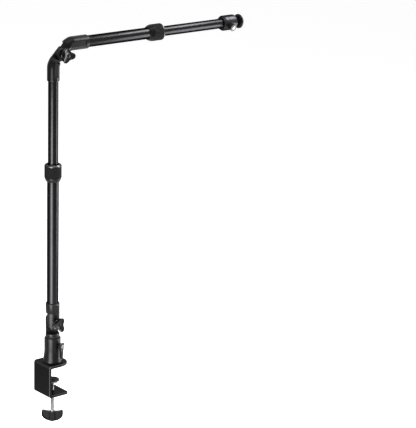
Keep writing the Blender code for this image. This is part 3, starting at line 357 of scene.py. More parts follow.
rubber_low = FOOT_TOP - RUBBER_T
rubber_line = [
    (0, FOOT_TOP),
    *grooves((3.5, 6.5, 9.5), FOOT_TOP, 0.5, 0.3, 0.5),
    (FOOT_R, FOOT_TOP, 0.7),
    (FOOT_R, rubber_low, 0.2),
    (0, rubber_low),
]
spun("foot_rubber", rubber_line, "clamp_foot", "pad_rubber", pad_rubber, "pressure_pad", sides=88)
plate_high = rubber_low - GAP
plate_low = plate_high - FOOT_T
foot_line = [
    (0, plate_high),
    (FOOT_R, plate_high, 0.3),
    (FOOT_R, plate_low + 1.2, 0.5),
    (FOOT_R - 1.4, plate_low, 0.4),
    (SPINDLE_R + GAP, plate_low, 0.2),
    (SPINDLE_R + GAP, plate_low + 1.8),
    (0, plate_low + 1.8),
]
spun("foot_disc", foot_line, "clamp_foot", "steel", plated_screw, "pressure_plate", sides=88)

# Clamp screw: a 7 mm steel screw with a rolled thread, a collar that pushes the foot, and a plain end
# moulded into its knob.
PITCH, THREAD_DEPTH = 1.25, 0.55
COLLAR_TURN_R, COLLAR_TURN_T = 5.8, 2.0
KNOB_TOP, WING_H = -95.0, 20.5


def threaded(radius, low, high, pitch, depth, plain=1.0, per_pitch=8, sides=40):
    """A screw thread as a radius over the angle and the height: the groove is deepest where height/pitch -
    angle/turn is whole, and its flanks are straight. It fades in and out over a plain length at both
    ends."""
    count = int((high - low) / pitch * per_pitch)
    z = np.linspace(high, low, count)[:, None]
    a = np.linspace(0, math.tau, sides, endpoint=False)[None, :]
    phase = np.mod(z / pitch - a / math.tau, 1.0)
    groove = np.clip(np.abs(phase - 0.5) * 2.6 - 0.15, 0, 1)
    fade = np.clip((high - z) / plain, 0, 1) * np.clip((z - low) / plain, 0, 1)
    return radius - depth * groove * fade, z, a


def screw_grid(above, thread, below):
    """Profile rows above the thread, the thread's own rows and profile rows below it as one grid about Z."""
    radius, z, a = thread
    above, below = np.array(above), np.array(below)
    radius = np.vstack((above[:, :1] + 0 * a, radius, below[:, :1] + 0 * a))
    height = np.vstack((above[:, 1:], z, below[:, 1:])) + 0 * a
    return np.stack((radius * np.cos(a), radius * np.sin(a), height), -1)


spindle_top = plate_low + 1.5
spindle_foot = KNOB_TOP - WING_H + 6.0
collar_high = plate_low - GAP
collar_low = collar_high - COLLAR_TURN_T
above = [
    (0, spindle_top),
    (SPINDLE_R - 0.3, spindle_top),
    (SPINDLE_R, spindle_top - 0.3),
    (SPINDLE_R, collar_high),
    (COLLAR_TURN_R - 0.2, collar_high),
    (COLLAR_TURN_R, collar_high - 0.2),
    (COLLAR_TURN_R, collar_low + 0.2),
    (COLLAR_TURN_R - 0.2, collar_low),
    (SPINDLE_R, collar_low),
]
below = [(SPINDLE_R, KNOB_TOP - 2), (SPINDLE_R, spindle_foot), (0, spindle_foot)]
thread = threaded(SPINDLE_R, KNOB_TOP + 1.6, collar_low - 0.3, PITCH, THREAD_DEPTH)
spindle = skin("clamp_spindle", screw_grid(above, thread, below), sharp=60)
fit(spindle, "spindle", "steel", plated_screw, "clamp_screw")

# Butterfly knob: glossy moulded plastic, two webbed wings with raised rims on a round hub, moulded round the
# plain end of the clamp screw.
WING_HALF, WING_T, WING_RIM, HUB_R = 20.6, 8.5, 2.2, 6.4
WAIST, WING_TIP_R = 6.5, 2.8
KNOB_YAW = math.radians(-40)


def wing_outline():
    """The butterfly's outline round its middle, sampled evenly along its length: a lower edge (half-span sin
    a, waist - height cos a), a short rounded tip and a nearly straight top edge."""
    a = np.radians(np.linspace(0, 90, 40))
    low = np.column_stack((WING_HALF * np.sin(a), KNOB_TOP - WAIST - (WING_H - WAIST) * np.cos(a)))
    tip = quarter(WING_HALF - WING_TIP_R, KNOB_TOP - WING_TIP_R + 0.6, WING_TIP_R, 0, 80, 10)
    top = np.array([(WING_HALF * 0.45, KNOB_TOP - 1.1), (0, KNOB_TOP - 1.3)])
    right = np.vstack((low, tip, top))
    closed = np.vstack((right, (right * (-1, 1))[::-1][1:-1], right[:1]))
    step = np.linalg.norm(np.diff(closed, axis=0), axis=1)
    length = np.concatenate(([0], np.cumsum(step)))
    want = np.linspace(0, length[-1], 220, endpoint=False)
    return np.column_stack([np.interp(want, length, closed[:, i]) for i in (0, 1)])


def step_up(value, start, end):
    """0 below start, 1 above end, and 3t^2 - 2t^3 between them."""
    t = np.clip((value - start) / (end - start), 0, 1)
    return t * t * (3 - 2 * t)


def wing_grid():
    """Rings from the middle of the front to the middle of the back. A ring is the outline scaled by s. The
    half thickness is the web's, raised to the rim near the outline and to the hub's circle sqrt(R^2 - x^2)
    near the middle; past the rim the two faces meet in a round edge."""
    middle = np.array([0, KNOB_TOP - 8.5])
    away = wing_outline() - middle
    s = np.concatenate((np.linspace(0, 0.7, 26), np.linspace(0.7, 1, 26)[1:]))[:, None, None]
    place = middle + away[None] * s
    edge = np.linalg.norm(away, axis=1)[None] * (1 - s[..., 0])
    x, z = place[..., 0], place[..., 1]
    web, rim = 1.8, WING_T / 2
    half = web + (rim - web) * (1 - step_up(edge, WING_RIM - 0.3, WING_RIM + 0.7))
    hub = np.sqrt(np.maximum(HUB_R**2 - x**2, 0))
    half = np.maximum(half, hub)
    fall = 0.9
    drop = np.clip(1 - edge / fall, 0, 1)
    half = half - fall * (1 - np.sqrt(np.maximum(1 - drop**2, 0)))
    x, y, z = (np.concatenate((front, back[::-1])) for front, back in ((x, x), (-half, half), (z, z)))
    c, s = math.cos(KNOB_YAW), math.sin(KNOB_YAW)
    return np.stack((x * c - y * s, x * s + y * c, z), -1)


gloss_black = shades("gloss_black", (0.0015, 0.0015, 0.0017), 0, 0.26, 600, 0.01, 70, 0.3, mirror=0.17)
fit(skin("butterfly_knob", wing_grid(), sharp=70), "spindle", "knob_plastic", gloss_black, "clamp_knob")

# Swivel lock: a moulded lever with a square head and a tapering tail, pressed on a bright screw that bears
# on the post inside the socket.
LOCK_Z, LOCK_REACH = 40.5, 26.5
LOCK_YAW = math.radians(-78)
LOCK_OUT = np.array([math.cos(LOCK_YAW), math.sin(LOCK_YAW), 0])
LOCK_SIDE = np.array([-math.sin(LOCK_YAW), math.cos(LOCK_YAW), 0])
HEAD_HALF, HEAD_HIGH, HEAD_ROUND, TAIL_L, TAIL_R = 5.8, 7.5, 2.0, 24.0, 2.7
LOCK_CAP_R, LOCK_PIN_R = 3.9, 3.0


def lever_outline():
    """The lever seen from outside: a square head with round corners, a tail with a round end, and between
    them the shoulders (1-t)^2 a + 2t(1-t) b + t^2 c."""
    side, high = HEAD_HALF - HEAD_ROUND, HEAD_HIGH - HEAD_ROUND
    upper = quarter(side, high, HEAD_ROUND, 0, 90), quarter(-side, high, HEAD_ROUND, 90, 180)
    t = np.linspace(0, 1, 14)[:, None]
    a, b, c = np.array([(-HEAD_HALF, 1.5), (-HEAD_HALF, -4.6), (-3.3, -8.6)])
    shoulder = (1 - t) ** 2 * a + 2 * t * (1 - t) * b + t**2 * c
    tail = quarter(0, TAIL_R - TAIL_L, TAIL_R, 186, 354, 17)
    return np.vstack((*upper, shoulder, tail, shoulder[::-1] * (-1, 1)))


def lever_grid():
    """Rings in the lever's own plane, carried out along the screw. The hub and the seat for the screw's cap
    are circles; the rings of the back, the rounded edge and the front are the outline drawn in by an
    inset."""
    outline = lever_outline()
    aim = outline / np.linalg.norm(outline, axis=1, keepdims=True)
    back, front = LOCK_REACH - 4.8, LOCK_REACH - 1.4
    hub_low, hub_r, seat_r, seat_low = SOCKET_R + GAP, 5.4, 4.7, front - 0.3
    rings = [(0 * aim, hub_low), ((hub_r - 0.5) * aim, hub_low), (hub_r * aim, hub_low + 0.5)]
    rings += [(hub_r * aim, back)]
    heights, insets = edge_rows(back, front, 0.8, 5)
    rings += [(outline - aim * inset, height) for height, inset in zip(heights[1:-1], insets[1:-1])]
    rings += [(seat_r * aim, front), ((seat_r - 0.3) * aim, seat_low), (0 * aim, seat_low)]
    rows = [ring[:, :1] * LOCK_SIDE + ring[:, 1:] * np.array(UP) + out * LOCK_OUT for ring, out in rings]
    return np.array(rows) + (0, 0, LOCK_Z)


fit(skin("swivel_lever", lever_grid(), sharp=45), "swivel_lock", "knob_plastic", gloss_black, "lock_lever")
cap_line = [
    (0, LOCK_REACH - 0.2),
    (1.2, LOCK_REACH - 0.1),
    (2.6, LOCK_REACH, 0.4),
    (LOCK_CAP_R, LOCK_REACH - 0.25, 0.3),
    (LOCK_CAP_R, LOCK_REACH - 1.3),
    (LOCK_PIN_R, LOCK_REACH - 1.3),
    (LOCK_PIN_R, SPIGOT_R + GAP),
    (0, SPIGOT_R + GAP),
]
about = (0, 0, LOCK_Z), LOCK_OUT, 64
spun("swivel_lock_screw", cap_line, "swivel_lock", "steel", bright_steel, "lock_screw", *about)

# Tilt hinge: the swivel post turns in the socket; above it the post and the mast socket are each cut to half
# their thickness and lie side by side on one bolt, with a nylon washer between them.
HINGE_Z, HINGE_R, HINGE_END, SHOULDER = 84.0, 13.4, 13.7, 20.5
EYE_FACE, EYE_T = 0.9, 11.0
EYE_BACK = EYE_FACE + EYE_T


def least(value, limit, ease):
    """A smooth minimum: the lesser of two numbers, less h^2 ease / 4 where they are within the ease of each
    other, h being the share of the ease that is left. It rounds the edge where a flat meets a round side."""
    h = np.clip(ease - np.abs(value - limit), 0, None) / ease
    return np.minimum(value, limit) - h * h * ease / 4


def clipped_rings(rows):
    """Cross-sections (across, y) of a round bar, one for each row of (radius, half width, lowest y, highest
    y): across = r cos a and y = r sin a, each held within its limits by the smooth minimum. A limit of FAR
    or beyond holds nothing."""
    ease = 0.55
    radius, wide, low, high = (rows[:, i : i + 1] for i in range(4))
    a = np.linspace(0, math.tau, 200, endpoint=False)[None, :]
    across, y = radius * np.cos(a), radius * np.sin(a)
    held = np.maximum(least(np.abs(across), wide, ease), 0)
    across = np.sign(across) * np.where(wide < FAR, held, np.abs(across))
    y = np.where(high < FAR, least(y, high, ease), y)
    y = np.where(low > -FAR, -least(-y, -low, ease * 0.5), y)
    return across, y


def half_width(reach, past):
    """A round end's half width at a distance past the hinge: sqrt(reach^2 - past^2), never quite 0."""
    return max(math.sqrt(max(reach**2 - past**2, 0)), 1e-4)


def upright_bar(rows):
    """Rings of an upright bar from rows of (height, radius, lowest y, highest y, half width), of which the
    last three may be left out where nothing cuts the round."""
    rows = np.array([(*row, *(-FAR, FAR, FAR)[len(row) - 2 :]) for row in rows], float)
    across, y = clipped_rings(rows[:, (1, 4, 2, 3)])
    return np.stack((across, y, np.repeat(rows[:, :1], across.shape[1], axis=1)), -1)


shoulder_z = HINGE_Z - SHOULDER
round_end = HINGE_END * np.sin(np.linspace(0, math.pi / 2, 26))
post_rows = [
    (SOCKET_FLOOR + GAP, 0),
    (SOCKET_FLOOR + GAP, SPIGOT_R - 0.8),
    (SOCKET_FLOOR + 1.1, SPIGOT_R),
    (SOCKET_TOP + GAP, SPIGOT_R),
    (SOCKET_TOP + GAP, HINGE_R - 0.5),
    (SOCKET_TOP + GAP + 0.15, HINGE_R - 0.15),
    (SOCKET_TOP + GAP + 0.5, HINGE_R),
    (shoulder_z - 4.0, HINGE_R),
    (shoulder_z - 3.9, HINGE_R, -FAR, EYE_BACK),
    (shoulder_z - 0.4, HINGE_R, -FAR, EYE_BACK),
    (shoulder_z, HINGE_R - 0.3, -FAR, EYE_BACK),
    (shoulder_z, HINGE_R, EYE_FACE, EYE_BACK),
    (HINGE_Z - 0.2, HINGE_R, EYE_FACE, EYE_BACK),
]
post_rows += [(HINGE_Z + d, HINGE_R, EYE_FACE, EYE_BACK, half_width(HINGE_END, d)) for d in round_end]
fit(skin("hinge_post", upright_bar(post_rows)), "swivel", "cast_paint", cast_paint, "swivel_post")

nylon = shades("nylon", (0.010, 0.010, 0.010), 0, 0.5, 1500, 0.02, 80, 0.15, mirror=0.2)
WASHER_T, WASHER_BORE, BOLT_SHANK, BOLT_DOME_R, HEX_R = 1.2, 3.3, 3.0, 4.5, 1.9


def hexagon(flat, top):
    """Swell that turns the rows below a height into a hexagonal socket: radius = flat / cos(angle from
    flat)."""

    def swell(radius, height, a):
        turn = np.mod(a, math.pi / 3) - math.pi / 6
        inside = (height <= top) & (radius > 0.01) & (radius <= flat)
        return np.where(inside, flat / np.cos(turn) - radius, 0)

    return swell


def washer(name, place, radius, body, node):
    """A flat ring on the hinge's axis, between its two halves."""
    face = WASHER_T / 2
    line = [(WASHER_BORE, face), (radius, face, 0.15), (radius, -face, 0.15), (WASHER_BORE, -face)]
    spun(name, line, body, "nylon", nylon, node, place, BACK, 96, ring=True)


def socket_bolt(name, place, back, front, body, node):
    """A domed bolt on the hinge's axis from behind its back face to inside the knob in front, with a
    hexagonal socket whose bottom is flat."""
    head = back + GAP
    high = head + 3.6
    tip = 3.7 - front
    line = [
        (0, high - 1.9),
        (HEX_R, high - 1.9),
        (HEX_R, high - 0.05),
        (HEX_R + 0.5, high),
        (BOLT_DOME_R, high - 0.1, 1.5),
        (BOLT_DOME_R, head, 0.1),
        (BOLT_SHANK, head),
        (BOLT_SHANK, tip),
        (0, tip),
    ]
    spun(name, line, body, "steel", bright_steel, node, place, BACK, 72, hexagon(HEX_R, high))


hinge = (0, 0, HINGE_Z)
TILT_DEPTH, ELBOW_DEPTH = 12.2, 14.2
washer("tilt_spacer", hinge, HINGE_R - 1.4, "swivel", "tilt_washer")
socket_bolt("tilt_hinge_bolt", hinge, EYE_BACK, EYE_BACK + TILT_DEPTH, "swivel", "tilt_bolt")

# Winged knobs: glossy moulded knobs of three lobes that flare away from a round hub, one on each hinge.
TRI_R, TRI_ROOT, TRI_HUB, TRI_CAP = 15.8, 9.0, 6.6, 3.9
TRI_WING, TRI_EDGE = 8.5, 1.1


def winged_knob(name, place, front, depth, turn, body, node):
    """Rings round the hinge's axis. A lobe's reach is root + (tip - root) ((1 + cos 3a) / 2)^1.2. It grows
    from 0.8 of that at the back of the wings to the whole at the front, with both edges rounded, and the
    front is dished towards a shallow round cap."""
    a = np.linspace(0, math.tau, 240, endpoint=False)
    lobe = TRI_ROOT + (TRI_R - TRI_ROOT) * ((1 + np.cos(3 * (a - turn))) / 2) ** 1.2
    foot = front + GAP
    high = foot + depth
    low = high - TRI_WING
    rows = [
        (0, foot),
        (TRI_HUB + 1.2, foot),
        (TRI_HUB + 1.3, foot + 0.25),
        (TRI_HUB, foot + 1.2),
        (TRI_HUB, low - 0.3),
    ]
    heights, insets = edge_rows(low, high, TRI_EDGE, 6)
    for height, inset in zip(heights[1:-1], insets[1:-1]):
        rise = (height - low) / TRI_WING
        rows.append((np.maximum(lobe * (0.8 + 0.2 * rise) - inset, TRI_HUB + 0.05 * rise), height))
    rim = np.maximum(lobe - TRI_EDGE, TRI_HUB + 0.05)
    rows += [(rim * share, high - 0.9 * math.sin((1 - share) * 5.2)) for share in (0.9, 0.8, 0.7)]
    rows += [
        (TRI_CAP + 0.5, high - 0.9),
        (TRI_CAP, high - 1.2),
        (TRI_CAP - 0.3, high - 0.7),
        (TRI_CAP - 1.0, high - 0.5),
        (0, high - 0.4),
    ]
    grid = [np.column_stack((r * np.cos(a), np.full_like(a, -h), r * np.sin(a))) for r, h in rows]
    knob = skin(name, np.array(grid) + np.array(place), sharp=60)
    fit(knob, body, "knob_plastic", gloss_black, node)


tilt_turn, elbow_turn = math.radians(60), math.radians(-8)
winged_knob("tilt_winged_knob", hinge, EYE_BACK, TILT_DEPTH, tilt_turn, "tilt_handle", "tilt_knob")

# Mast socket: the hinge's upper half, cast and painted like the post. It is planed in front, where its knob
# turns, and bored from above to take the foot of the lower tube.
TUBE_R, INNER_R, WALL = 11.0, 9.5, 1.2
MAST_TOP = HINGE_Z + 40.1
TUBE_FLOOR = HINGE_Z + 24.0
shoulder_z = HINGE_Z + SHOULDER
mast_rows = [
    (HINGE_Z - d, HINGE_R, -EYE_BACK, -EYE_FACE, half_width(HINGE_END, d)) for d in round_end[::-1]
]
mast_rows += [
    (shoulder_z, HINGE_R, -EYE_BACK, -EYE_FACE),
    (shoulder_z, HINGE_R - 0.3, -EYE_BACK),
    (shoulder_z + 0.4, HINGE_R, -EYE_BACK),
    (MAST_TOP - 4.1, HINGE_R, -EYE_BACK),
    (MAST_TOP - 4.0, HINGE_R),
    (MAST_TOP - 1.4, HINGE_R),
    (MAST_TOP - 0.9, HINGE_R - 0.25),
    (MAST_TOP - 0.2, HINGE_R - 1.0),
    (MAST_TOP, HINGE_R - 1.5),
    (MAST_TOP, TUBE_R + GAP + 0.2),
    (MAST_TOP - 0.2, TUBE_R + GAP),
    (TUBE_FLOOR, TUBE_R + GAP),
    (TUBE_FLOOR, 0),
]
fit(skin("mast_hinge_socket", upright_bar(mast_rows)), "lower_arm", "cast_paint", cast_paint, "mast_socket")

# Telescopic mast: a black anodised aluminium tube, a twist collar on its end and a thinner tube that slides
# in it. The collar is a moulded taper with a ribbed rubber grip and a turned ring, and squeezes a nylon
# collet.
COLLAR_Z, COLLAR_L, COLLAR_R, TAPER, RING_L = 360.8, 34.0, 16.0, 7.8, 4.0
SEAT = COLLAR_L - RING_L - GAP
TUBE_END = COLLAR_L - RING_L - 7.9
RIBS, RIB_DEPTH = 56, 0.32
# The collar's edges get a faint painted highlight from the edge amount.
collar_black = shades(
    "collar_black", (0.0025, 0.0025, 0.0027), 0, 0.3, 1300, 0.012, 60, 0.2, edge_highlight=0.05, mirror=0.12
)
grip_rubber = shades("grip_rubber", (0.003, 0.003, 0.0032), 0, 0.55, 2600, 0.04, 90, 0.3, mirror=0.04)
ring_metal = shades("ring_metal", (0.05, 0.05, 0.052), 1, 0.34, 900, 0.01, 60, 0.15, rim=0.4)


def anodised(name, draw):
    """Black anodised aluminium, its fine noise drawn out along the tube."""
    return shades(name, (0.0165, 0.0165, 0.0172), 1, 0.3, 900, 0.012, 35, 0.2, draw=draw, rim=0.1)


def tube(name, radius, low, high, place, along, body, node, finish):
    """A drawn tube between two heights along its axis, with both ends broken inside and out."""
    bore = radius - WALL
    line = [(r, z, 0.3) for r, z in ((bore, high), (radius, high), (radius, low), (bore, low))]
    spun(name, line, body, "tube_anodised", finish, node, place, along, 128, ring=True)


def ribbed(radius, height, a):
    """Ribs along the grip: the outer rows sink by depth |cos(ribs a / 2)|^6, which leaves rounded ribs
    between narrow grooves, and the ribs fade out towards both ends."""
    outer = np.clip((radius - COLLAR_R + 0.5) / 0.3, 0, 1)
    ends = np.clip(height - TAPER - 1.4, 0, 1) * np.clip(SEAT - 0.6 - height, 0, 1)
    return -RIB_DEPTH * outer * ends * np.abs(np.cos(RIBS * a / 2)) ** 6


def twist_collar(arm, place, along, body):
    """A collar from its taper at 0 to its ring at the collar's length: the moulded body, bored for the thick
    tube and open towards the collet; the grip sleeve over it; and the ring, bored for the thin tube."""
    shell, grip, ring = (f"{arm}_collar_{part}" for part in ("taper", "grip", "ring"))
    about = place, along, 128
    core = COLLAR_R - 1.4
    bore = TUBE_R + GAP
    collet = bore + 1.9
    collet_low = TUBE_END - 2
    line = [
        (collet, SEAT),
        (core, SEAT, 0.2),
        (core, TAPER + 0.6),
        (COLLAR_R - 0.2, TAPER + 0.6, 0.3),
        (COLLAR_R - 0.5, TAPER - 0.6, 0.4),
        (COLLAR_R - 1.5, TAPER * 0.56, 1.5),
        (bore + 1.1, 0.5, 0.5),
        (bore, 0, 0.3),
        (bore, collet_low),
        (collet, collet_low),
    ]
    spun(shell, line, body, "collar_plastic", collar_black, arm + "_collar", *about, ring=True)
    low, high, sleeve = TAPER + 0.9, SEAT, core + GAP
    side = [(COLLAR_R, z) for z in np.linspace(high - 0.6, low + 0.6, 24)]
    line = [(sleeve, high), (COLLAR_R, high, 0.4), *side, (COLLAR_R, low, 0.4), (sleeve, low)]
    sleeve_grid = turned(eased(line), place, along, RIBS * 8, ribbed)
    fit(skin(grip, sleeve_grid, ring=True, sharp=60), body, "grip_rubber", grip_rubber, arm + "_grip")
    inner = INNER_R + GAP
    line = [
        (inner + 1.0, COLLAR_L - 0.4, 0.2),
        (COLLAR_R - 2.2, COLLAR_L, 0.3),
        (COLLAR_R - 0.4, COLLAR_L - 1.9, 0.2),
        (COLLAR_R, COLLAR_L - 2.4, 0.2),
        (COLLAR_R, COLLAR_L - RING_L, 0.2),
        (inner, COLLAR_L - RING_L),
        (inner, COLLAR_L - 1.4, 0.2),
    ]
    spun(ring, line, body, "ring_metal", ring_metal, arm + "_ring", *about, ring=True)


ELBOW_X, ELBOW_Z, OFFSET = 16.5, 600.6, 16.5
BOOM_Z = ELBOW_Z + OFFSET
ELBOW_FOOT, ELBOW_MOUTH, ELBOW_SEAT = 552.3, 73.6, 18.0
MAST = (0, 0, 0)
upright_grain = anodised("anodised_upright", (1, 1, 0.03))
thick = TUBE_FLOOR + GAP, COLLAR_Z + TUBE_END
thin = COLLAR_Z - 36, ELBOW_FOOT + ELBOW_SEAT
tube("mast_outer", TUBE_R, *thick, MAST, UP, "lower_arm", "lower_outer_tube", upright_grain)
twist_collar("lower", (0, 0, COLLAR_Z), UP, "lower_twist")
tube("mast_inner", INNER_R, *thin, MAST, UP, "mast", "lower_inner_tube", upright_grain)
for hidden in ("lower_collet", "lower_tail_plug", "upper_collet", "upper_tail_plug", "ball_seat"):
    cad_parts[hidden].data.materials.clear()
    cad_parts[hidden].data.materials.append(nylon)

# Elbow: two cast goosenecks, each bent 45 degrees towards the hinge and planed flat on both sides, that meet
# as a half lap. Their open ends are bored for the tubes, and the front one has a round boss for the knob.
BEND, BEND_R = math.radians(45), 19.6
RUN = (OFFSET - BEND_R * (1 - math.cos(BEND))) / math.sin(BEND)
BEND_START = RUN * math.cos(BEND) + BEND_R * math.sin(BEND)
BAR_R, EYE_R, LAP, NECK_WALL, MOUTH_RINGS = 11.0, 12.8, 20.5, 0.9, 3


def gooseneck(mouth, mouth_r, bore_r, flat, front):
    """Rings from the bore's bottom out of the mouth, along the neck to the half-round end past the hinge, as
    places (across, along, y) from the hinge. The neck is a straight, then an arc on which across = offset -
    R (1 - cos a) and along = start - R sin a, then a straight. A ring's tilt goes from 0 to 45 degrees by
    the lap's shoulder, and its width is divided by the cosine of its slant to the neck, so that the bar
    stays round."""
    mouth_end = mouth - 7.0
    shank = np.linspace(mouth - 0.8, mouth_end, MOUTH_RINGS)
    straight = np.concatenate((shank, np.linspace(mouth_end, BEND_START, 12)[1:]))
    a = np.linspace(0, BEND, 30)[1:]
    last = np.linspace(RUN, 0, 10)[1:]
    arc_x, arc_z = OFFSET - BEND_R * (1 - np.cos(a)), BEND_START - BEND_R * np.sin(a)
    across = np.concatenate((np.full(len(straight), OFFSET), arc_x, last * math.sin(BEND)))
    along = np.concatenate((straight, arc_z, last * math.cos(BEND)))
    path = np.concatenate((np.zeros(len(straight)), a, np.full(len(last), BEND)))
    reach = (across + along) * math.sqrt(0.5)
    tilt = BEND * step_up(-reach, -BEND_START * 0.92, -LAP)
    radius = mouth_r + (BAR_R - mouth_r) * step_up(-along, -BEND_START, -BEND_START * 0.25)
    slant = 1 / np.cos(tilt - path)
    rows, places = [], []

    def add(x, z, r, low=-FAR, high=FAR, lean=0, stretch=1, wide=FAR):
        rows.append((r, wide, low, high))
        places.append((x, z, lean, stretch))

    floor, step, edge = mouth - ELBOW_SEAT - GAP, 0.15, 0.5
    bore = [(floor, 0), (floor, bore_r), (mouth - 2 * step, bore_r), (mouth, bore_r + 2 * step)]
    for z, r in (*bore, (mouth, mouth_r - edge), (mouth - step, mouth_r - step), (mouth - edge, mouth_r)):
        add(OFFSET, z, r)
    half = (-flat, -EYE_FACE) if front else (EYE_FACE, flat)
    lap = int(np.argmax(reach <= LAP))
    for i in range(len(across)):
        if i < MOUTH_RINGS:
            add(across[i], along[i], radius[i], -FAR, FAR, tilt[i], slant[i])
        if i == MOUTH_RINGS - 1:
            add(across[i], along[i] - 0.1, radius[i], -flat, flat, tilt[i], slant[i])
        if i == lap:
            add(across[i], along[i], radius[i] - 0.1, -flat, flat, tilt[i], slant[i])
        if i >= MOUTH_RINGS:
            low, high = half if i >= lap else (-flat, flat)
            add(across[i], along[i], radius[i], low, high, tilt[i], slant[i])
    for d in EYE_R * np.sin(np.linspace(0.05, math.pi / 2, 26)):
        wide = half_width(EYE_R, d)
        wide = wide if wide < BAR_R + 1 else FAR
        add(-d * math.sin(BEND), -d * math.cos(BEND), BAR_R, *half, BEND, 1, wide)
    ring_n, ring_y = clipped_rings(np.array(rows, float))
    x, z, lean, stretch = (np.array(places)[:, i : i + 1] for i in range(4))
    return x + ring_n * stretch * np.cos(lean), z - ring_n * stretch * np.sin(lean), ring_y


x, z, y = gooseneck(ELBOW_Z - ELBOW_FOOT, 11.55, INNER_R + GAP, INNER_R + NECK_WALL, False)
lower_neck = skin("elbow_lower_neck", np.stack((ELBOW_X - x, y, ELBOW_Z - z), -1))
fit(lower_neck, "mast", "cast_paint", cast_paint, "elbow_lower_half")
x, z, y = gooseneck(ELBOW_MOUTH - ELBOW_X, 13.15, TUBE_R + GAP, TUBE_R + NECK_WALL, True)
upper_neck = skin("elbow_upper_neck", np.stack((ELBOW_X + z, y, ELBOW_Z + x), -1))
fit(upper_neck, "boom", "cast_paint", cast_paint, "elbow_upper_half")

elbow = (ELBOW_X, 0, ELBOW_Z)
ELBOW_BACK, ELBOW_FRONT, BOSS_R = 10.4, 11.5, 12.4
boss_line = [
    (0, ELBOW_FRONT),
    (BOSS_R, ELBOW_FRONT, 0.6),
    (BOSS_R, EYE_FACE + 3.0, 0.3),
    (0, EYE_FACE + 3.0),
]
fit(skin("elbow_boss", turned(eased(boss_line), elbow, FRONT, 112)), "boom", "cast_paint", cast_paint)
washer("elbow_spacer", elbow, EYE_R - 1.0, "mast", "elbow_washer")
socket_bolt("elbow_hinge_bolt", elbow, ELBOW_BACK, ELBOW_FRONT + ELBOW_DEPTH, "mast", "elbow_bolt")
winged_knob("elbow_winged_knob", elbow, ELBOW_FRONT, ELBOW_DEPTH, elbow_turn, "elbow_handle", "elbow_knob")

# Telescopic boom: the same tubes and twist collar laid along X, with the grain of the anodised skin drawn
# out that way.
BOOM = (0, 0, BOOM_Z)
UPPER_COLLAR, HEAD_X = 215.0, 396.8
level_grain = anodised("anodised_along", (0.03, 1, 1))
thick = ELBOW_MOUTH - ELBOW_SEAT, UPPER_COLLAR + TUBE_END
thin = UPPER_COLLAR - 30, HEAD_X - GAP
tube("boom_outer", TUBE_R, *thick, BOOM, RIGHT, "boom", "upper_outer_tube", level_grain)
twist_collar("upper", (UPPER_COLLAR, 0, BOOM_Z), RIGHT, "upper_twist")
tube("boom_inner", INNER_R, *thin, BOOM, RIGHT, "boom_extension", "upper_inner_tube", level_grain)

# Ball head: a turned, anodised housing in two parts on a steel stud. A side knob squeezes a polished ball in
# it; the housing's mouth has a notch that lets the stem swing down to a right angle.
HOUSING_R, HOUSING_L, BASE_T = 14.8, 33.5, 5.5
BALL_X, BALL_R, MOUTH_R, STEM_R = 422.0, 10.0, 8.5, 3.7
STUD_R, STUD_FOOT_R = 3.0, 8.0
gunmetal = shades("gunmetal", (0.025, 0.025, 0.0265), 1, 0.38, 1000, 0.008, 50, 0.15, rim=0.3)
polished = shades("polished_ball", (0.25, 0.25, 0.26), 1, 0.14, 700, 0.004, 60, 0.1)
base_front = HEAD_X + BASE_T
base_line = [
    (STUD_R + GAP, base_front),
    (HOUSING_R, base_front, 0.15),
    (HOUSING_R, HEAD_X + 4.0, 0.3),
    (HOUSING_R - 2.2, HEAD_X, 0.4),
    (STUD_R + GAP, HEAD_X),
]
spun("head_base", base_line, "head", "head_metal", gunmetal, "housing_base", BOOM, RIGHT, 128, ring=True)
stud_front, stud_foot, stud_back = base_front + 3.0, HEAD_X - 2 * GAP, HEAD_X - 16.3
stud_line = [
    (0, stud_front),
    (STUD_R, stud_front, 0.3),
    (STUD_R, stud_foot),
    (STUD_FOOT_R, stud_foot, 0.3),
    (STUD_FOOT_R, stud_back, 0.3),
    (0, stud_back),
]
spun("head_stud_turned", stud_line, "boom_extension", "steel", bright_steel, "head_stud", BOOM, RIGHT, 64)

cup = BALL_R + GAP
front_x = HEAD_X + HOUSING_L
lip = MOUTH_R + 1.4
a = np.radians(np.linspace(0, 90, 12))[1:]
mouth_a = np.linspace(math.pi / 2, math.asin(MOUTH_R / cup), 12)[1:]
housing_line = [(MOUTH_R, front_x, 0.3), (lip, front_x)]
housing_line += zip(lip + (HOUSING_R - lip) * np.sin(a), front_x - 4.8 * (1 - np.cos(a)))
groove = [(0, 0.5), (0.3, 0.2), (0.3, -0.2), (0, -0.5)]
for x in (base_front + 21.0, base_front + 7.0):
    housing_line += [(HOUSING_R - sunk, x + side) for sunk, side in groove]
housing_line += [(HOUSING_R, base_front + GAP, 0.2), (cup, base_front + GAP), (cup, BALL_X)]
housing_line += zip(cup * np.sin(mouth_a), BALL_X + cup * np.cos(mouth_a))
housing = skin("head_housing", turned(eased(housing_line), BOOM, RIGHT, 144), ring=True)


def carve(piece, grid):
    """Takes the closed solid of a grid out of a piece, with an exact boolean that is applied at once."""
    cutter = skin("cutter", grid)
    cut = piece.modifiers.new("cut", "BOOLEAN")
    cut.operation = "DIFFERENCE"
    cut.solver = "EXACT"
    cut.object = cutter
    bpy.context.view_layer.update()
    whole = bpy.data.meshes.new_from_object(piece.evaluated_get(bpy.context.evaluated_depsgraph_get()))
    piece.modifiers.clear()
    piece.data = whole
    whole.shade_smooth()
    whole.set_sharp_from_angle(angle=math.radians(38))
    bpy.data.objects.remove(cutter, do_unlink=True)
    return piece


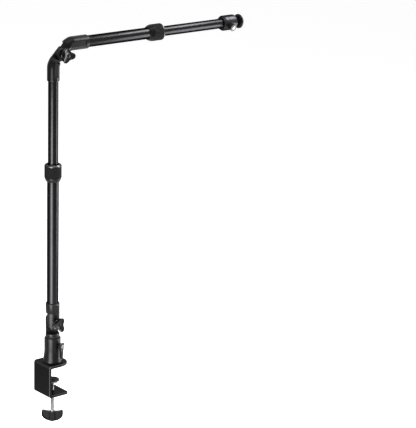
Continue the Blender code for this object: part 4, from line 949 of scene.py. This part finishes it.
notch_r, past = STEM_R + 0.8, 20
notch = np.vstack((quarter(0, 0, notch_r, 90, 270, 33), [(past, -notch_r), (past, notch_r)]))
notch_x, notch_y = notch[:, 0] + BALL_X, notch[:, 1]
levels = [np.column_stack((notch_x, notch_y, np.full(len(notch), z))) for z in (BOOM_Z - past, BOOM_Z)]
fit(carve(housing, np.array(levels)), "head", "head_metal", gunmetal, "ball_housing")

PLATFORM_SET, PLATFORM_R, PLATFORM_T = 17.2, 14.0, 3.6
ball_place = (BALL_X, 0, BOOM_Z)
stem_out = PLATFORM_SET + 2.2
neck = math.asin(STEM_R / BALL_R)
b = np.linspace(neck, math.pi, 60)
ball_line = [(0, stem_out), (STEM_R, stem_out, 0.3), (STEM_R, BALL_R * math.cos(neck) + 0.4)]
ball_line += [*zip(BALL_R * np.sin(b[:-1]), BALL_R * np.cos(b[:-1])), (0, -BALL_R)]
spun("ball_and_stem", ball_line, "ball", "ball_steel", polished, "ball_stem", ball_place, RIGHT)

# Camera plate: a turned disc with a knurled rim, a grooved rubber face and a quarter-inch camera screw.
face = PLATFORM_SET + PLATFORM_T
SCREW_R, SCREW_PITCH = 3.175, 1.27


def knurled(depth, count, low, high, reach):
    """Straight knurling on a rim: the rows between two heights and beyond a radius sink by depth |sin(count
    a / 2)|."""
    fade = 0.25

    def swell(radius, height, a):
        band = np.clip((height - low) / fade, 0, 1) * np.clip((high - height) / fade, 0, 1)
        return -depth * band * (radius > reach) * np.abs(np.sin(count * a / 2))

    return swell


plate_line = [
    (SCREW_R + GAP, face),
    (PLATFORM_R, face, 0.7),
    (PLATFORM_R, face - 0.9),
    (PLATFORM_R, face - 1.15),
    (PLATFORM_R, PLATFORM_SET + 1.55),
    (PLATFORM_R, PLATFORM_SET + 1.3),
    (PLATFORM_R, PLATFORM_SET + 1.2, 0.1),
    (PLATFORM_R - 3.0, PLATFORM_SET, 0.4),
    (STEM_R + GAP, PLATFORM_SET),
    (STEM_R + GAP, stem_out + GAP),
    (SCREW_R + GAP, stem_out + GAP),
]
rim_knurl = knurled(0.25, 90, PLATFORM_SET + 1.25, face - 0.85, PLATFORM_R - 0.1)
disc_grid = turned(eased(plate_line), ball_place, RIGHT, 540, rim_knurl)
disc = skin("camera_plate_disc", disc_grid, ring=True, sharp=50)
fit(disc, "camera_plate", "head_metal", gunmetal, "platform")
pad_low = face + GAP
pad_high = pad_low + 1.0
middles = 5.5, 7.5, 9.5, 11.3
pad_line = [
    (SCREW_R + GAP, pad_high, 0.1),
    *grooves(middles, pad_high, 0.35, 0.15, 0.35),
    (PLATFORM_R - 1.2, pad_high, 0.25),
    (PLATFORM_R - 1.2, pad_low),
    (SCREW_R + GAP, pad_low),
]
pad = skin("camera_plate_pad", turned(eased(pad_line), ball_place, RIGHT), ring=True)
fit(pad, "camera_plate", "pad_rubber", pad_rubber, "platform_pad")
tip = pad_high + 5.5
thread = threaded(SCREW_R, pad_high + 0.3, tip - 0.7, SCREW_PITCH, THREAD_DEPTH, 0.4, 12, 56)
above = [(0, tip), (SCREW_R - 0.7, tip)]
below = [(SCREW_R, pad_high), (SCREW_R, stem_out + GAP), (0, stem_out + GAP)]
upright = screw_grid(above, thread, below)
along_x = np.stack((upright[..., 2], upright[..., 1], -upright[..., 0]), -1) + np.array(ball_place)
fit(skin("camera_thread", along_x, sharp=60), "camera_plate", "steel", bright_steel, "camera_screw")

# Ball lock: a small knurled plastic knob on the housing's side, pressed on a bright steel screw whose domed
# head closes it. The head falls by dome (r / R)^2 towards its edge.
LOCK_X, DROP, KNOB_R, REACH = HEAD_X + 13.7, math.radians(17), 7.0, 25.0
CAP_R, CAP_DOME, PIN_R = 4.5, 0.6, 3.0
LOCK_AXIS = (0, -math.cos(DROP), -math.sin(DROP))
cap_face = REACH - 1.5
knob_low = HOUSING_R + 0.6
knob_line = [
    (PIN_R + GAP, cap_face),
    (KNOB_R, cap_face, 0.7),
    (KNOB_R, cap_face - 1.2),
    (KNOB_R, cap_face - 1.5),
    (KNOB_R, knob_low + 1.9),
    (KNOB_R, knob_low + 1.6),
    (KNOB_R, knob_low + 1.2),
    (KNOB_R - 1.2, knob_low, 0.3),
    (PIN_R + GAP, knob_low),
]
flutes = knurled(0.3, 36, knob_low + 1.5, cap_face - 1.1, KNOB_R - 0.1)
lock_place = (LOCK_X, 0, BOOM_Z)
knob_grid = turned(eased(knob_line), lock_place, LOCK_AXIS, 288, flutes)
side_knob = skin("ball_lock_grip", knob_grid, ring=True, sharp=50)
fit(side_knob, "ball_lock", "knob_plastic", gloss_black, "ball_lock_knob")
cap_line = [(r, REACH - CAP_DOME * (r / CAP_R) ** 2) for r in np.linspace(0, CAP_R - 0.2, 8)]
cap_line += [
    (CAP_R, REACH - 0.75),
    (CAP_R, REACH - 1.2),
    (PIN_R, REACH - 1.2),
    (PIN_R, BALL_R + 2 * GAP),
    (0, BALL_R + 2 * GAP),
]
about = lock_place, LOCK_AXIS, 64
spun("ball_lock_cap", cap_line, "ball_lock", "steel", bright_steel, "ball_lock_screw", *about)

# Studio: a pale floor, a white background that is dimmer as a light than as seen, and four plain softboxes:
# a strip by the camera, one at its right, a long one high to the right along the boom, and a wide one
# overhead. It is in metres.
YAW, PITCH, ROLL = math.radians(50.12), math.radians(16.37), math.radians(1.47)
FOCAL, DISTANCE, SHIFT_X, SHIFT_Y = 2006.1, 3.738, -155.1, -4.4
PICTURE_WIDTH, SENSOR_WIDTH = 416, 36


def heading(turn, level):
    """The unit direction at an angle about Z and an angle above the horizon: its z is the sine of the
    second, and the cosine of the second is shared between x and y by the cosine and sine of the first."""
    return np.array([math.cos(turn) * math.cos(level), math.sin(turn) * math.cos(level), math.sin(level)])


def stand(name, thing, across, upward, backward, spot):
    """Stands a camera or a lamp at a spot, its own x, y and z given as directions."""
    held = bpy.data.objects.new(name, thing)
    rows = np.column_stack((across, upward, backward, spot)).tolist()
    held.matrix_world = Matrix([*rows, (0, 0, 0, 1)])
    bpy.context.scene.collection.objects.link(held)
    return held


ahead = heading(YAW, -PITCH)
right = np.cross(ahead, UP)
right /= np.linalg.norm(right)
above = np.cross(right, ahead)
c, s = math.cos(ROLL), math.sin(ROLL)
right, above = right * c + above * s, above * c - right * s
eye = np.array([0, 0, 0.3065]) - ahead * DISTANCE + (above * SHIFT_Y - right * SHIFT_X) / FOCAL * DISTANCE
lens = bpy.data.cameras.new("camera")
lens.sensor_width = SENSOR_WIDTH
lens.sensor_fit = "HORIZONTAL"
lens.lens = FOCAL / PICTURE_WIDTH * SENSOR_WIDTH
lens.clip_end = 50
bpy.context.scene.camera = stand("camera", lens, right, above, -ahead, eye)

bpy.ops.mesh.primitive_plane_add(size=40, location=(0, 0, -0.14))
floor = bpy.context.object
floor.name = "floor"
paper = bpy.data.materials.new("paper")
paper.use_nodes = True
tree = paper.node_tree
lift = wire(tree, "Math", {0: wire(tree, "LightPath", {}).outputs["Is Camera Ray"], 1: 0.6})
lift.operation = "MULTIPLY"
matt = {
    "Base Color": (0.80, 0.80, 0.80, 1),
    "Roughness": 0.9,
    "Specular IOR Level": 0.1,
    "Emission Color": (1, 1, 1, 1),
    "Emission Strength": lift.outputs["Value"],
}
feed(tree, tree.nodes["Principled BSDF"], matt)
floor.data.materials.append(paper)


def softbox(name, azimuth, elevation, distance, wide, tall, power):
    """A rectangular lamp aimed at the middle of the mount, its place given from the camera's side: azimuth
    to the camera's right, elevation above the horizon."""
    middle = np.array([0.12, 0, 0.36])
    aim = heading(YAW + math.pi + math.radians(azimuth), math.radians(elevation))
    light = bpy.data.lights.new(name, "AREA")
    light.shape = "RECTANGLE"
    light.size, light.size_y = wide, tall
    light.energy = power
    side = np.cross(UP, aim)
    side /= np.linalg.norm(side)
    lamp = stand(name, light, side, np.cross(aim, side), aim, middle + aim * distance)
    lamp.visible_camera = False


softbox("strip_by_camera", -27, -18, 0.62, 0.28, 0.58, 10.8)
softbox("strip_right", 96, -11, 1.0, 0.45, 0.62, 19)
softbox("high_right", 114, 50, 1.45, 0.7, 0.25, 27)
softbox("overhead", 0, 75, 1.6, 1.2, 0.8, 8)

world = bpy.data.worlds.new("white_room")
bpy.context.scene.world = world
world.use_nodes = True
tree = world.node_tree
ray = wire(tree, "LightPath", {}).outputs
seen = ray["Is Camera Ray"]
for kind in ("Is Glossy Ray", "Is Transmission Ray"):
    either = wire(tree, "Math", {0: seen, 1: ray[kind]})
    either.operation = "MAXIMUM"
    seen = either.outputs["Value"]
level = wire(tree, "MapRange", {"Value": seen, "To Min": 0.45, "To Max": 1.0}).outputs["Result"]
feed(tree, tree.nodes["Background"], {"Color": (1, 1, 1, 1), "Strength": level})

bpy.context.scene.view_settings.view_transform = "Standard"
